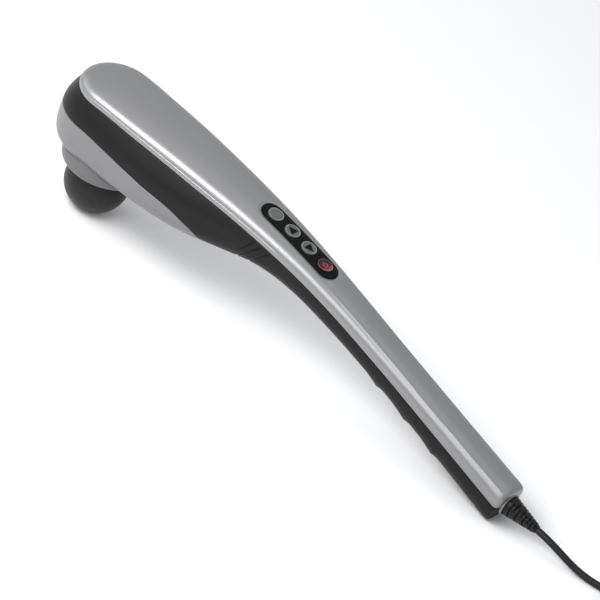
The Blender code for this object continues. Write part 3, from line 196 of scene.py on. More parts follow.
def hermite(x, knots, values, first_slope=None):
    """A smooth curve through the knots, with a level or natural start."""
    knots, values = np.asarray(knots, float), np.asarray(values, float)
    steps = np.diff(knots)
    slopes = np.diff(values) / steps
    tangent = np.empty(len(knots))
    tangent[1:-1] = (slopes[:-1] * steps[1:] + slopes[1:] * steps[:-1]) / (steps[:-1] + steps[1:])
    tangent[0] = slopes[0] if first_slope is None else first_slope
    tangent[-1] = slopes[-1]
    i = np.clip(np.searchsorted(knots, x) - 1, 0, len(knots) - 2)
    s = (x - knots[i]) / steps[i]
    return ((2 * s**3 - 3 * s**2 + 1) * values[i] + (s**3 - 2 * s**2 + s) * steps[i] * tangent[i]
            + (-2 * s**3 + 3 * s**2) * values[i + 1] + (s**3 - s**2) * steps[i] * tangent[i + 1])


def station(column, x):
    return float(hermite(min(max(x, FIRST_X), TAIL_X), TABLE[:, 0], TABLE[:, column], 0.0))


def spine(x):
    """Point of the seam line over the axis, its direction to the tail and its upward normal."""
    step = 0.0005
    inside = min(max(x, FIRST_X), TAIL_X)
    low, high = max(inside - step, FIRST_X), min(inside + step, TAIL_X)
    slope = (station(1, high) - station(1, low)) / (high - low)
    if x < FIRST_X:
        slope = 0.0
    tangent = np.array((1.0, 0.0, slope)) / hypot(1.0, slope)
    normal = np.array((-tangent[2], 0.0, tangent[0]))
    point = np.array((x, 0.0, station(1, inside) + slope * (x - inside)))
    return point, tangent, normal


def ridge(x):
    """Height of the finger ridges under the grip."""
    height = 0.0
    for crest in RIDGE_X:
        offset = x - crest
        reach = RIDGE_FALL if offset > 0 else RIDGE_RISE
        if abs(offset) < reach:
            height += RIDGE_HEIGHT * (1 - abs(offset) / reach)**1.6
    return height


def section(x, inset, rows=60):
    """Half section from the crown to the keel as arrays of half-width and height over the seam."""
    seam_half, crown, wide_half, wide_drop, keel = (station(c, x) for c in (2, 3, 4, 5, 6))
    keel += ridge(x) if inset == 0 else 0.0
    seam_half, wide_half, crown, keel = seam_half - inset, wide_half - inset, crown - inset, keel - inset
    share = min(max((x - NECK_X[0]) / (NECK_X[1] - NECK_X[0]), 0.0), 1.0)
    power = HEAD_KEEL_POWER + (HANDLE_KEEL_POWER - HEAD_KEEL_POWER) * share
    turn = np.linspace(0.0, pi / 2, rows + 1)
    sine, cosine = np.sin(turn), np.maximum(np.cos(turn), 0.0)
    half = np.concatenate([seam_half * sine**(2 / CROWN_POWER),
                           seam_half + (wide_half - seam_half) * sine[1:], wide_half * cosine[1:]**(2 / power)])
    rise = np.concatenate([crown * cosine**(2 / CROWN_POWER), -wide_drop * turn[1:] / turn[-1],
                           -wide_drop - (keel - wide_drop) * sine[1:]**(2 / power)])
    return half, rise


def places(*stretches):
    """Distances along the body, each stretch as its end and its spacing."""
    found = [FIRST_X]
    for end, spacing in stretches:
        count = max(int(round((end - found[-1]) / spacing)), 1)
        found += list(np.linspace(found[-1], end, count + 1)[1:])
    return found


class Column:
    """One cross-section of the body: round the nose, along the body or in the tail's end cap."""

    def __init__(self, x, nose=None, tail=None):
        self.x, self.nose, self.tail = x, nose, tail
        self.point, self.tangent, self.normal = spine(x)
        self.half, self.rise = section(x, 0.0)
        self.inner_half, self.inner_rise = section(x, WALL)
        self.crown, self.keel = self.rise[0], -self.rise[-1]

    def half_at(self, rise, inset=0.0):
        return np.maximum(np.interp(rise, self.rise[::-1], self.half[::-1]) - inset, 0.0)

    def run(self, start, stop, distances):
        """Points between two heights, at the distances that a function gives for the whole run."""
        fine = np.linspace(0, len(self.half) - 1, 900)
        half, rise = (np.interp(fine, np.arange(len(line)), line) for line in (self.half, self.rise))
        run = np.concatenate([[0.0], np.cumsum(np.hypot(np.diff(half), np.diff(rise)))])
        a, b = np.interp([-start, -stop], -rise, run)
        spots = distances(abs(b - a))
        where = a + np.sign(b - a) * spots
        return np.interp(where, run, half), np.interp(where, run, rise), spots

    def place(self, half, rise, inset):
        """Positions on the +Y side for arrays of half-width, height over the seam and inset."""
        base = self.point + np.outer(rise, self.normal)
        if self.nose is not None:
            base[:, 0] -= half * cos(self.nose)
            base[:, 1] += half * sin(self.nose)
        elif self.tail is not None:
            narrow = max(cos(self.tail), 0.0)**(2 / TAIL_PLAN_POWER)
            reach = (TAIL_REACH - inset) * sin(self.tail)**(2 / TAIL_PLAN_POWER)
            height = np.where(rise > 0, rise / (self.crown - inset), -rise / (self.keel - inset))
            push = reach * (1 - np.minimum(height, 1.0)**TAIL_SIDE_POWER)**(1 / TAIL_SIDE_POWER)
            base += np.outer(push, self.tangent)
            base[:, 1] += half * narrow
        else:
            base[:, 1] += half
        base[:, 0] += BALL_X
        return base

    def edge(self, height, side):
        """Positions round a rounded edge, from the outer face to the inner face."""
        rise, inset = lip(height, side)
        rise = np.maximum(rise, -self.keel)
        return self.place(self.half_at(rise, inset), rise, inset)

    def inside(self, rise, closed=False):
        """Positions on the inner face, ending on the middle plane if it is closed there."""
        half = np.interp(rise, self.inner_rise[::-1], self.inner_half[::-1])
        if closed:
            half[-1] = 0.0
        return self.place(half, rise, WALL + 0.0 * rise)

    def height_on(self, line, shift):
        """Height over the seam where the section crosses a line drawn on the body's side."""
        rise = 0.0
        for _ in range(12):
            x = self.point[0] + self.normal[0] * rise
            target = float(hermite(x, line[:, 0], line[:, 1], 0.0)) + shift
            rise = (target - self.point[2]) / self.normal[2]
        return rise


def nose_columns(steps=24):
    return [Column(FIRST_X, nose=pi / 2 * i / steps) for i in range(steps)]


def body_columns(spots, tail_steps=12):
    tail = [Column(TAIL_X, tail=pi / 2 * i / tail_steps) for i in range(1, tail_steps + 1)]
    return nose_columns() + [Column(x) for x in spots] + tail


def outward(half, rise):
    """Unit normals of a section curve, pointing out of the body."""
    across, up = np.gradient(half), np.gradient(rise)
    length = np.maximum(np.hypot(across, up), 1e-12)
    normal = np.stack([-up / length, across / length])
    middle = len(half) // 2
    if normal[0, middle] * half[middle] + normal[1, middle] * rise[middle] < 0:
        normal = -normal
    return normal


def lip(edge, side):
    """Heights and insets of a rounded edge: from the outer face to the inner face."""
    turns = np.linspace(0.0, pi / 2, 5)
    rise = edge + side * LIP_RADIUS * (1 - np.sin(turns))
    inset = LIP_RADIUS * (1 - np.cos(turns))
    return np.append(rise, [edge, edge]), np.append(inset, [WALL * 0.6, WALL])


def loft(name, rows_of_columns, cyclic=False):
    """Closed skin through both halves of a list of columns of points."""
    mesh = bmesh.new()
    for side in (1, -1):
        grid = [[mesh.verts.new((x, y * side, z)) for x, y, z in column] for column in rows_of_columns]
        count = len(grid[0])
        for a, b in zip(grid, grid[1:]):
            for j in range(count if cyclic else count - 1):
                k = (j + 1) % count
                corners = (a[j], a[k], b[k], b[j])
                if max(abs(v.co.y) for v in corners) < 1e-7:
                    continue
                mesh.faces.new(corners if side == 1 else corners[::-1])
    bmesh.ops.remove_doubles(mesh, verts=mesh.verts, dist=2e-6)
    bmesh.ops.dissolve_degenerate(mesh, edges=mesh.edges, dist=1e-6)
    return settle(name, mesh)


def skin(mesh, grid, ends=True):
    """Faces through a tube of rings, in their order, and one at each end."""
    count = len(grid[0])
    for a, b in zip(grid, grid[1:]):
        for i in range(count):
            mesh.faces.new((a[i], a[(i + 1) % count], b[(i + 1) % count], b[i]))
    if ends:
        mesh.faces.new(grid[0][::-1])
        mesh.faces.new(grid[-1])


def settle(name, mesh, matrix=None):
    """Moves a mesh to its place, turns its faces outward and makes a piece or a tool of it."""
    if matrix is not None:
        bmesh.ops.transform(mesh, matrix=matrix, verts=mesh.verts)
    bmesh.ops.recalc_face_normals(mesh, faces=mesh.faces)
    return piece(name, mesh)


def piece(name, mesh):
    data = bpy.data.meshes.new(name)
    mesh.to_mesh(data)
    mesh.free()
    return add(name, data)


def add(name, data):
    item = bpy.data.objects.new(name, data)
    bpy.context.scene.collection.objects.link(item)
    if isinstance(data, bpy.types.Mesh):
        data.shade_smooth()
        data.set_sharp_from_angle(angle=SMOOTH_ANGLE)
    return item


# Control panel's place

def crown_point(x):
    point, _, normal = spine(x)
    spot = point + normal * station(3, x)
    return Vector((spot[0] + BALL_X, 0.0, spot[2]))


def frame_at(place, x, y, z):
    """Frame at a place, with its axes along three unit vectors."""
    return Matrix.Translation(place) @ Matrix((x, y, z)).transposed().to_4x4()


def panel_frame():
    middle = crown_point(PANEL_X)
    reach = PANEL_LENGTH / 3
    tailward = (crown_point(PANEL_X + reach) - crown_point(PANEL_X - reach)).normalized()
    up = tailward.cross(Vector((0, 1, 0)))
    return frame_at(middle, tailward, Vector((0, 1, 0)), up)


PANEL = panel_frame()


def pill_distance(along, across, length, width):
    """Signed distance to a slot-shaped outline centred on the panel."""
    straight = (length - width) / 2
    return np.hypot(np.maximum(np.abs(along) - straight, 0.0), across) - width / 2


def crown_height(along, across):
    """Height of the crown over the panel frame at a place on it."""
    x = PANEL_X + along
    for _ in range(4):
        point, _, normal = spine(x)
        share = min(abs(across) / station(2, x), 0.999)
        rise = station(3, x) * (1 - share**CROWN_POWER)**(1 / CROWN_POWER)
        spot = point + normal * rise
        local = PANEL.inverted() @ Vector((spot[0] + BALL_X, 0.0, spot[2]))
        x += along - local.x
    return local.z


def dish(points):
    """Sink the shell softly round the control panel."""
    inverse = np.array(PANEL.inverted())
    local = points @ inverse[:3, :3].T + inverse[:3, 3]
    distance = pill_distance(local[:, 0], local[:, 1], PANEL_LENGTH, PANEL_WIDTH)
    share = np.clip(1 - distance / DISH_WIDTH, 0.0, 1.0)
    depth = DISH_DEPTH * share**2 * (3 - 2 * share) * (local[:, 2] > -0.006)
    return points - np.outer(depth, np.array(PANEL)[:3, 2])


# Body shells

def top_shell():
    spots = places((0.112, HEAD_SPACING), (0.190, 0.0009), (TAIL_X - TAIL_STRETCH, 0.0028),
                   (TAIL_X, TAIL_SPACING))
    edge = SEAM_GAP / 2
    fine = np.concatenate([(0.0, 0.0005, 0.0011, 0.0017, 0.0022), np.linspace(0.0025, 0.0036, 12)])
    columns = []
    for column in body_columns(spots):
        half, rise, run = column.run(edge + LIP_RADIUS, column.crown,
                                   lambda total: np.concatenate([fine, np.linspace(0.0040, total, 40)]))
        groove = np.interp(column.x, STEP_END_X, (1.0, 0.0))
        bump = -groove * STEP_DEPTH * np.exp(-((run - STEP_AT) / STEP_WIDTH)**2)
        share = np.interp(column.x, *CREASE.T)
        fade = min(max((column.x - CREASE[0, 0]) / 0.05, 0.0), 1.0)
        crest = run[np.argmin(np.abs(rise - share * column.crown))]
        bump += fade * CREASE_HEIGHT * np.exp(-((run - crest) / CREASE_WIDTH)**2)
        normal = outward(half, rise)
        normal[:, -1] = (0.0, 1.0)
        half, rise = half + normal[0] * bump, rise + normal[1] * bump
        outer = dish(column.place(half[::-1], rise[::-1], 0.0 * rise))
        outer[0, 1] = 0.0
        inner = column.inside(np.linspace(edge, column.inner_rise[0], 14)[1:])
        columns.append(np.vstack([outer, column.edge(edge, 1), inner]))
    return loft("top_shell_skin", columns)


def groove_depth(x, rise):
    """Depth of the thin curved grooves at the neck, on the dark housing."""
    depth = 0.0
    for knots in GROOVES:
        if not knots[:, 1].min() <= rise <= knots[:, 1].max():
            continue
        order = np.argsort(knots[:, 1])
        centre = np.interp(rise, knots[order, 1], knots[order, 0])
        depth += GROOVE_DEPTH * exp(-((x - centre) / GROOVE_WIDTH)**2)
    return depth


def cover_tip():
    """Distance along the body at which the head cover's point meets the keel."""
    low, high = 0.080, 0.110
    for _ in range(30):
        middle = (low + high) / 2
        column = Column(middle)
        if column.height_on(COVER_LINE, 0.0) > -column.keel:
            low = middle
        else:
            high = middle
    return low


def beside_cover(tip):
    """Share of a section's arc, from the seam to the keel, that stays outside the head cover at its point."""
    arcs = []
    for x in (tip - COVER_TIP_STEP, tip):
        column = Column(x)
        low = max(column.height_on(COVER_LINE, SEAM_GAP / 2), -column.keel) if x < tip else -column.keel
        arcs.append(column.run(-SEAM_GAP / 2, low, lambda total: total + np.zeros(1))[2][0])
    return arcs[0] / arcs[1]


def lower_housing(tip):
    share = beside_cover(tip)
    side_rows, keel_rows = np.linspace(0.0, share, 44), np.linspace(share, 1.0, 17)[1:]
    open_rows = np.concatenate([side_rows, keel_rows])
    covered_rows = np.minimum(open_rows / share, 1.0)
    spots = places((HEAD_LENGTH, HEAD_SPACING), (tip, COVER_TIP_STEP), (0.150, 0.00033), (0.232, 0.0025),
                   (0.312, 0.0010), (TAIL_X - TAIL_STRETCH, 0.0025), (TAIL_X, TAIL_SPACING))
    top = -SEAM_GAP / 2
    columns = []
    for column in body_columns(spots):
        covered = column.x < tip - 1e-6
        bottom = column.height_on(COVER_LINE, SEAM_GAP / 2) if covered else -column.keel
        bottom = max(bottom, -column.keel)
        low = bottom + (LIP_RADIUS if covered else 0.0)
        half, rise, _ = column.run(top - LIP_RADIUS, low,
                                 lambda total: total * (covered_rows if covered else open_rows))
        depth = np.array([groove_depth(column.x, r) for r in rise])
        if depth.any():
            normal = outward(half, rise)
            half, rise = half - normal[0] * depth, rise - normal[1] * depth
        if not covered:
            half[-1] = 0.0
        outer = column.place(half, rise, 0.0 * rise)
        if covered:
            low_edge = column.edge(bottom, 1)
        else:
            inset = lip(bottom, 1)[1]
            low_edge = column.place(0.0 * inset, bottom + inset, inset)
        inner = column.inside(np.linspace(max(bottom, column.inner_rise[-1]), top, 18)[1:-1])
        columns.append(np.vstack([outer, low_edge, inner, column.edge(top, -1)[::-1]]))
    for column in columns:
        column[:, 2] = np.maximum(column[:, 2], 0.0)
    return loft("lower_housing_skin", columns, cyclic=True)


def head_cover(tip):
    spots = places((HEAD_LENGTH, HEAD_SPACING), (tip, COVER_TIP_STEP))
    columns = []
    for column in nose_columns() + [Column(x) for x in spots]:
        edge = max(column.height_on(COVER_LINE, -SEAM_GAP / 2), -column.keel + 1e-5)
        start = max(edge - LIP_RADIUS, -column.keel)
        half, rise, _ = column.run(start, -column.keel, lambda total: total * np.linspace(0.0, 1.0, 40))
        half[-1] = 0.0
        outer = column.place(half[::-1], rise[::-1], 0.0 * rise)
        floor = column.inner_rise[-1]
        inner = column.inside(np.linspace(max(edge, floor), floor, 12)[1:], closed=True)
        columns.append(np.vstack([outer, column.edge(edge, -1), inner]))
    return loft("head_cover_skin", columns)


def carve(item, tools):
    """Cut tools out of a piece for good, then drop the tools."""
    for tool in tools:
        change = item.modifiers.new("cut", "BOOLEAN")
        change.operation = "DIFFERENCE"
        change.solver = "EXACT"
        change.object = tool
    graph = bpy.context.evaluated_depsgraph_get()
    data = bpy.data.meshes.new_from_object(item.evaluated_get(graph))
    item.modifiers.clear()
    old = item.data
    item.data = data
    bpy.data.meshes.remove(old)
    for tool in tools:
        bpy.data.objects.remove(tool)
    data.set_sharp_from_angle(angle=SMOOTH_ANGLE)


def pill(length, width, turns=24):
    points = []
    for end in (1, -1):
        for i in range(turns + 1):
            angle = -pi / 2 + pi * i / turns
            points.append((end * ((length - width) / 2 + width / 2 * cos(angle)), end * width / 2 * sin(angle)))
    return points


def prism(outline, low, high):
    mesh = bmesh.new()
    floor = mesh.faces.new([mesh.verts.new((x, y, low)) for x, y in outline])
    grown = bmesh.ops.extrude_face_region(mesh, geom=[floor])
    roof = [item for item in grown["geom"] if isinstance(item, bmesh.types.BMVert)]
    bmesh.ops.translate(mesh, verts=roof, vec=(0, 0, high - low))
    return mesh


def circle(radius, count, centre=(0.0, 0.0)):
    return [(centre[0] + radius * cos(2 * pi * (i + 0.5) / count),
             centre[1] + radius * sin(2 * pi * (i + 0.5) / count)) for i in range(count)]


def bend(across, along, radius, start=0.0, end=pi / 2, count=6):
    """Arc of a profile about a point, its angle measured from the profile's upward axis."""
    return [(across + radius * sin(a), along + radius * cos(a)) for a in np.linspace(start, end, count)]


def turned(name, profile, matrix, steps=96):
    """Turned piece about its own Z from a profile that runs down the outer side."""
    mesh = bmesh.new()
    rings = []
    for i in range(steps):
        angle = 2 * pi * i / steps
        rings.append([mesh.verts.new((r * cos(angle), r * sin(angle), z)) for r, z in profile])
    for i in range(steps):
        a, b = rings[i], rings[(i + 1) % steps]
        for j in range(len(profile) - 1):
            if max(profile[j][0], profile[j + 1][0]) > 1e-9:
                mesh.faces.new((a[j], a[j + 1], b[j + 1], b[j]))
    bmesh.ops.remove_doubles(mesh, verts=mesh.verts, dist=1e-7)
    bmesh.ops.dissolve_degenerate(mesh, edges=mesh.edges, dist=1e-8)
    return settle(name, mesh, matrix)


# Panel and buttons

def button_along(index):
    return (index - (len(BUTTONS) - 1) / 2) * BUTTON_PITCH


def control_panel():
    """Glossy slot-shaped panel that follows the crown, with rounded edges and a bore for each button."""
    mesh = bmesh.new()
    straight = (PANEL_LENGTH - PANEL_WIDTH) / 2
    offsets = [(0.0, -PANEL_SKIRT)]
    for turn in np.linspace(0.0, pi / 2, 6):
        drop = PANEL_ROUNDING * (1 - sin(turn))
        offsets.append((drop, -drop))
    offsets += [(reach, 0.0) for reach in np.linspace(0.0016, PANEL_WIDTH / 2 - 0.0004, 9)]
    outline = [(copysign(straight, cos(a)), cos(a), sin(a))
               for a in np.linspace(-pi / 2, 1.5 * pi, 97)[:-1] + 1e-6]
    spans = []
    for i, (centre, c, w) in enumerate(outline):
        spans.append((centre, c, w))
        follower = outline[(i + 1) % len(outline)]
        if follower[0] != centre:
            for share in np.linspace(0.0, 1.0, 49)[1:-1]:
                spans.append((centre + (follower[0] - centre) * share, 0.0, copysign(1.0, w)))
    grid = []
    for inset, drop in offsets:
        radius = PANEL_WIDTH / 2 - inset
        grid.append([])
        for centre, c, w in spans:
            along, across = centre + radius * c, radius * w
            height = crown_height(along, across) + PANEL_PROUD + drop
            grid[-1].append(mesh.verts.new(PANEL @ Vector((along, across, height))))
    skin(mesh, grid, ends=False)
    mesh.faces.new(grid[0])
    mesh.faces.new(grid[-1][::-1])
    bmesh.ops.triangulate(mesh, faces=[f for f in mesh.faces if len(f.verts) > 4])
    item = settle("panel_face", mesh)
    holes = []
    for i in range(len(BUTTONS)):
        outline = circle(BUTTON_RADIUS + PANEL_GAP, 64, (button_along(i), 0.0))
        holes.append(settle("hole", prism(outline, -0.01, 0.01), PANEL))
    carve(item, holes)
    return item


def button_place(index):
    along = button_along(index)
    return PANEL @ Matrix.Translation((along, 0.0, crown_height(along, 0.0)))


def button_height(reach):
    """Height of a button's dished face over its rim plane at a distance from its middle."""
    return BUTTON_PROUD - BUTTON_DISH * (1 - (reach / BUTTON_RADIUS)**2)


def button(index):
    """Push button with a rounded rim and a shallow dished face."""
    top, edge = button_height(BUTTON_RADIUS), BUTTON_EDGE
    profile = [(reach, button_height(reach)) for reach in np.linspace(0.0, BUTTON_RADIUS - 2 * edge, 9)]
    profile += bend(BUTTON_RADIUS - edge, top - edge, edge)
    profile += [(BUTTON_RADIUS, -0.002), (BUTTON_RADIUS - 0.001, -0.0021), (0.0, -0.0021)]
    return turned(f"{BUTTONS[index]}_cap", profile, button_place(index), 72)


def face_mark(name, outline, index, holes=()):
    """Thin mark that lies on a button's dished face, for print and for painted highlights."""
    mesh = bmesh.new()
    loops = [[mesh.verts.new((x, y, 0.0)) for x, y in points] for points in (outline, *holes)]
    edges = []
    for loop in loops:
        edges += [mesh.edges.new((a, b)) for a, b in zip(loop, loop[1:] + loop[:1])]
    bmesh.ops.triangle_fill(mesh, use_beauty=True, use_dissolve=False, edges=edges)
    bmesh.ops.subdivide_edges(mesh, edges=mesh.edges, cuts=1, use_grid_fill=True)
    for vert in mesh.verts:
        vert.co.z = button_height(hypot(vert.co.x, vert.co.y)) - 0.00002
    grown = bmesh.ops.extrude_face_region(mesh, geom=list(mesh.faces))
    lifted = [item for item in grown["geom"] if isinstance(item, bmesh.types.BMVert)]
    bmesh.ops.translate(mesh, verts=lifted, vec=(0, 0, MARK_THICKNESS))
    return settle(name, mesh, button_place(index))


def rounded_triangle(size, corner, toward):
    """Triangle with rounded corners that points along the body."""
    points = []
    for k in range(3):
        middle = 2 * pi * k / 3
        for a in np.linspace(middle - pi / 3, middle + pi / 3, 6):
            points.append((toward * ((size - corner) * cos(middle) + corner * cos(a)),
                           (size - corner) * sin(middle) + corner * sin(a)))
    return points


def arc_band(inner, outer, start, end, steps=28):
    """Outline of a part of a ring."""
    turns = np.radians(np.linspace(start, end, steps))
    return ([(outer * cos(a), outer * sin(a)) for a in turns]
            + [(inner * cos(a), inner * sin(a)) for a in turns[::-1]])


def button_marks():
    """Light rims, arrows and a power symbol printed on the buttons, and two arcs of painted highlight on the
    tailward side of the power button's face.
    """
    rim = (circle(0.0052, 60), (circle(0.00475, 60),))
    bar = [(-0.0026, -0.00025), (-0.0006, -0.00025), (-0.0006, 0.00025), (-0.0026, 0.00025)]
    rows = [(index, "rim_mark", "rim_print", *rim) for index in range(3)]
    rows += [(1, "arrow", "black_print", rounded_triangle(0.0038, 0.0004, -1)),
             (2, "arrow", "black_print", rounded_triangle(0.0038, 0.0004, 1)),
             # painted highlight: the outer and inner red arcs stand for a bright glint along one side of the
             # power button's rim
             (3, "outer_arc", "red_print", arc_band(0.0044, 0.0049, -72, 60)),
             (3, "inner_arc", "red_print", arc_band(0.0033, 0.0037, -60, 50)),
             (3, "thin_ring", "dim_red_print", circle(0.0052, 60), (circle(0.00505, 60),)),
             (3, "symbol_arc", "red_print", arc_band(0.0014, 0.0019, -142, 142)),
             (3, "symbol_bar", "red_print", bar)]
    return [(face_mark(f"{BUTTONS[index]}_{mark}", outline, index, *holes), kind, index)
            for index, mark, kind, outline, *holes in rows]


# Head

def collar():
    """Rounded skirt round the ball, with a soft step inside its mouth."""
    foot, wide = COLLAR_FOOT_Z, COLLAR_RADIUS
    outer = np.array(((wide - 0.003, 0.05), (wide - 0.0012, 0.0455), (wide - 0.0002, 0.0415),
                      (wide, 0.0388), (wide - 0.0004, 0.0367), (wide - 0.0014, 0.035),
                      (wide - 0.003, 0.0339), (wide - 0.0048, foot)))
    smooth = [tuple(float(hermite(t, range(8), outer[:, axis])) for axis in (0, 1))
              for t in np.linspace(0.001, 6.999, 40)]
    mouth = [(0.0206, foot), (0.0202, foot + 0.0003), (0.02, 0.0385), (0.0105, 0.0385), (0.0105, 0.05)]
    profile = smooth + [(wide - 0.006, foot - 0.0001)] + mouth + [smooth[0]]
    return turned("collar_skirt", profile, Matrix.Translation((BALL_X, 0, 0)), 128)


def ball():
    """Soft rubber ball, flattened where it rests, with a fine mould line round it."""
    flat = asin(-BALL_CENTRE_Z / BALL_RADIUS)
    profile = [(BALL_BORE, BALL_TOP), (0.017, BALL_TOP)]
    for angle in np.linspace(asin(0.0134 / BALL_RADIUS), flat, 110):
        radius = BALL_RADIUS - MOULD_LINE * exp(-(angle / 0.01)**2)
        profile.append((radius * cos(angle), radius * sin(angle)))
    profile += [(0.004, -BALL_CENTRE_Z), (0.0, -BALL_CENTRE_Z), (0.0, BALL_BORE_FLOOR),
                (BALL_BORE, BALL_BORE_FLOOR), (BALL_BORE, BALL_TOP)]
    return turned("ball_skin", profile, Matrix.Translation((BALL_X, 0, BALL_CENTRE_Z)), 160)


# Mains lead

RELIEF_ROOT = spine(TAIL_X)[0] + spine(TAIL_X)[1] * TAIL_REACH
RELIEF_AXIS = Vector((cos(RELIEF_SLOPE), 0.0, -sin(RELIEF_SLOPE)))


def relief_matrix():
    """Frame at the relief's root with Z along its axis and Y across the body."""
    across = Vector((0, 1, 0))
    lift = across.cross(RELIEF_AXIS).normalized()
    return frame_at((RELIEF_ROOT[0] + BALL_X, 0.0, RELIEF_ROOT[2]), lift, across, RELIEF_AXIS)


def strain_relief():
    """Tapered sleeve with ribs that are bridged by webs on alternate sides."""
    steps, rows = 120, 240
    pitch = (RELIEF_LENGTH - RELIEF_PLAIN) / RELIEF_RIBS
    mesh = bmesh.new()
    grid = []
    for j in range(rows + 1):
        height = -0.0006 + (RELIEF_LENGTH + 0.0006) * j / rows
        share = min(max((height - RELIEF_PLAIN) / (RELIEF_LENGTH - RELIEF_PLAIN), 0.0), 1.0)
        radius = RELIEF_BASE_RADIUS + (RELIEF_TIP_RADIUS - RELIEF_BASE_RADIUS) * share
        number, phase = divmod((height - RELIEF_PLAIN + 0.0004) / pitch, 1.0)
        depth = 0.0
        if height > RELIEF_PLAIN - 0.0004 and phase > RIB_SHARE and number < RELIEF_RIBS:
            depth = RIB_DEPTH * min(1.0, min(phase - RIB_SHARE, 1.0 - phase) / 0.07)
        ring = []
        for i in range(steps):
            angle = 2 * pi * i / steps
            web = abs(cos(angle + pi / 2 * (number % 2)))
            reach = radius - depth * min(max((0.93 - web) / 0.05, 0.0), 1.0)
            if height > RELIEF_LENGTH - 0.0006:
                reach -= 0.5 * (height - RELIEF_LENGTH + 0.0006)
            ring.append(mesh.verts.new((reach * cos(angle), reach * sin(angle), height)))
        grid.append(ring)
    skin(mesh, grid)
    return settle("strain_relief_sleeve", mesh, relief_matrix())


def socket_rim():
    """Thin rim round the strain relief's root on the end face."""
    profile = []
    for a in np.linspace(0.0, 2 * pi, 17):
        radius = RELIEF_BASE_RADIUS + 0.0009 + 0.0007 * cos(a)
        profile.append((radius, 0.0004 - 0.0011 * sin(a)))
    return turned("relief_socket_rim", profile, relief_matrix(), 96)


def smooth_path(knots, spacing):
    """Evenly spaced points on the smooth curve through a route's own points."""
    knots = np.array(knots, float)
    run = np.concatenate([[0.0], np.cumsum(np.linalg.norm(np.diff(knots, axis=0), axis=1))])
    fine = np.linspace(0.0, run[-1], 40 * len(knots))
    dense = np.array([[hermite(s, run, knots[:, axis]) for axis in range(3)] for s in fine])
    length = np.concatenate([[0.0], np.cumsum(np.linalg.norm(np.diff(dense, axis=0), axis=1))])
    spots = np.linspace(0.0, length[-1], max(int(round(length[-1] / spacing)), 2) + 1)
    return np.stack([np.interp(spots, length, dense[:, axis]) for axis in range(3)], axis=1)


def ease(share):
    share = min(max(share, 0.0), 1.0)
    return share * share * (3 - 2 * share)


def coil_path():
    """Turns of the coil, clockwise from its +Y side, layer on layer."""
    turns = []
    for layer in range(COIL_LAYERS):
        order = COIL_RADII if layer % 2 == 0 else COIL_RADII[::-1]
        turns += [(radius, layer) for radius in order]
    turns.append((COIL_RADII[0], COIL_LAYERS))
    floor_z = CORD_START[-1][2]
    steps = 72
    points = []
    for number, (radius, layer) in enumerate(turns):
        before = turns[max(number - 1, 0)]
        after = turns[min(number + 1, len(turns) - 1)]
        for i in range(steps):
            degrees = 360.0 * i / steps
            reach = before[0] + (radius - before[0]) * ease(degrees / 50.0)
            climb = ease((degrees - 300.0) / 50.0) * (after[1] - layer)
            angle = radians(90.0 - degrees)
            points.append((COIL_CENTRE[0] + reach * cos(angle), COIL_CENTRE[1] + reach * sin(angle),
                           floor_z + COIL_LIFT * (layer + climb)))
    points.append((COIL_CENTRE[0], COIL_CENTRE[1] + COIL_RADII[0], floor_z + COIL_LIFT * COIL_LAYERS))
    return np.array(points)


def cord_path():
    top = coil_path()
    start = smooth_path(list(CORD_START) + [tuple(top[0])], 0.004)
    end = smooth_path([tuple(top[-1])] + list(CORD_END), 0.004)
    return np.vstack([start[:-1], top, end[1:]])


def mains_cord():
    points = cord_path()
    data = bpy.data.curves.new("mains_cord", "CURVE")
    data.dimensions = "3D"
    data.bevel_depth = CORD_RADIUS
    data.bevel_resolution = 5
    data.use_fill_caps = True
    path = data.splines.new("POLY")
    path.points.add(len(points) - 1)
    for knot, point in zip(path.points, points):
        knot.co = (*point, 1.0)
    path.use_smooth = True
    return add("mains_cord", data)


def coil_tie():
    """Rubbery strap bent over the coil's bundle."""
    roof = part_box("cord_coil")[1][2] + 0.0003
    inner, outer = COIL_RADII[-1] - CORD_RADIUS, COIL_RADII[0] + CORD_RADIUS
    out = Vector((cos(TIE_ANGLE), sin(TIE_ANGLE), 0.0))
    middle = Vector((*COIL_CENTRE, 0.0)) + out * (inner + outer) / 2
    up = Vector((0, 0, 1))
    half, soft, thickness = (outer - inner) / 2 + 0.001, 0.003, 0.001
    line = [(-half, 0.0014), (-half, roof - soft)]
    line += bend(soft - half, roof - soft, soft, -pi / 2, 0.0, 8)
    line += bend(half - soft, roof - soft, soft, count=8)
    line += [(half, 0.0014)]
    line = np.array(line)
    direction = np.gradient(line, axis=0)
    direction /= np.linalg.norm(direction, axis=1)[:, None]
    outside = line + np.stack([-direction[:, 1], direction[:, 0]], axis=1) * thickness
    mesh = bmesh.new()
    width = TIE_WIDTH / 2
    grid = []
    for (a, b), (c, d) in zip(line, outside):
        corners = ((a, b, -width), (a, b, width), (c, d, width), (c, d, -width))
        grid.append([mesh.verts.new(corner) for corner in corners])
    skin(mesh, grid)
    item = settle("cord_tie_strap", mesh, frame_at(middle, out, up, out.cross(up)))
    bevel = item.modifiers.new("edges", "BEVEL")
    bevel.width = 0.00035
    bevel.segments = 2
    bevel.limit_method = "ANGLE"
    return item


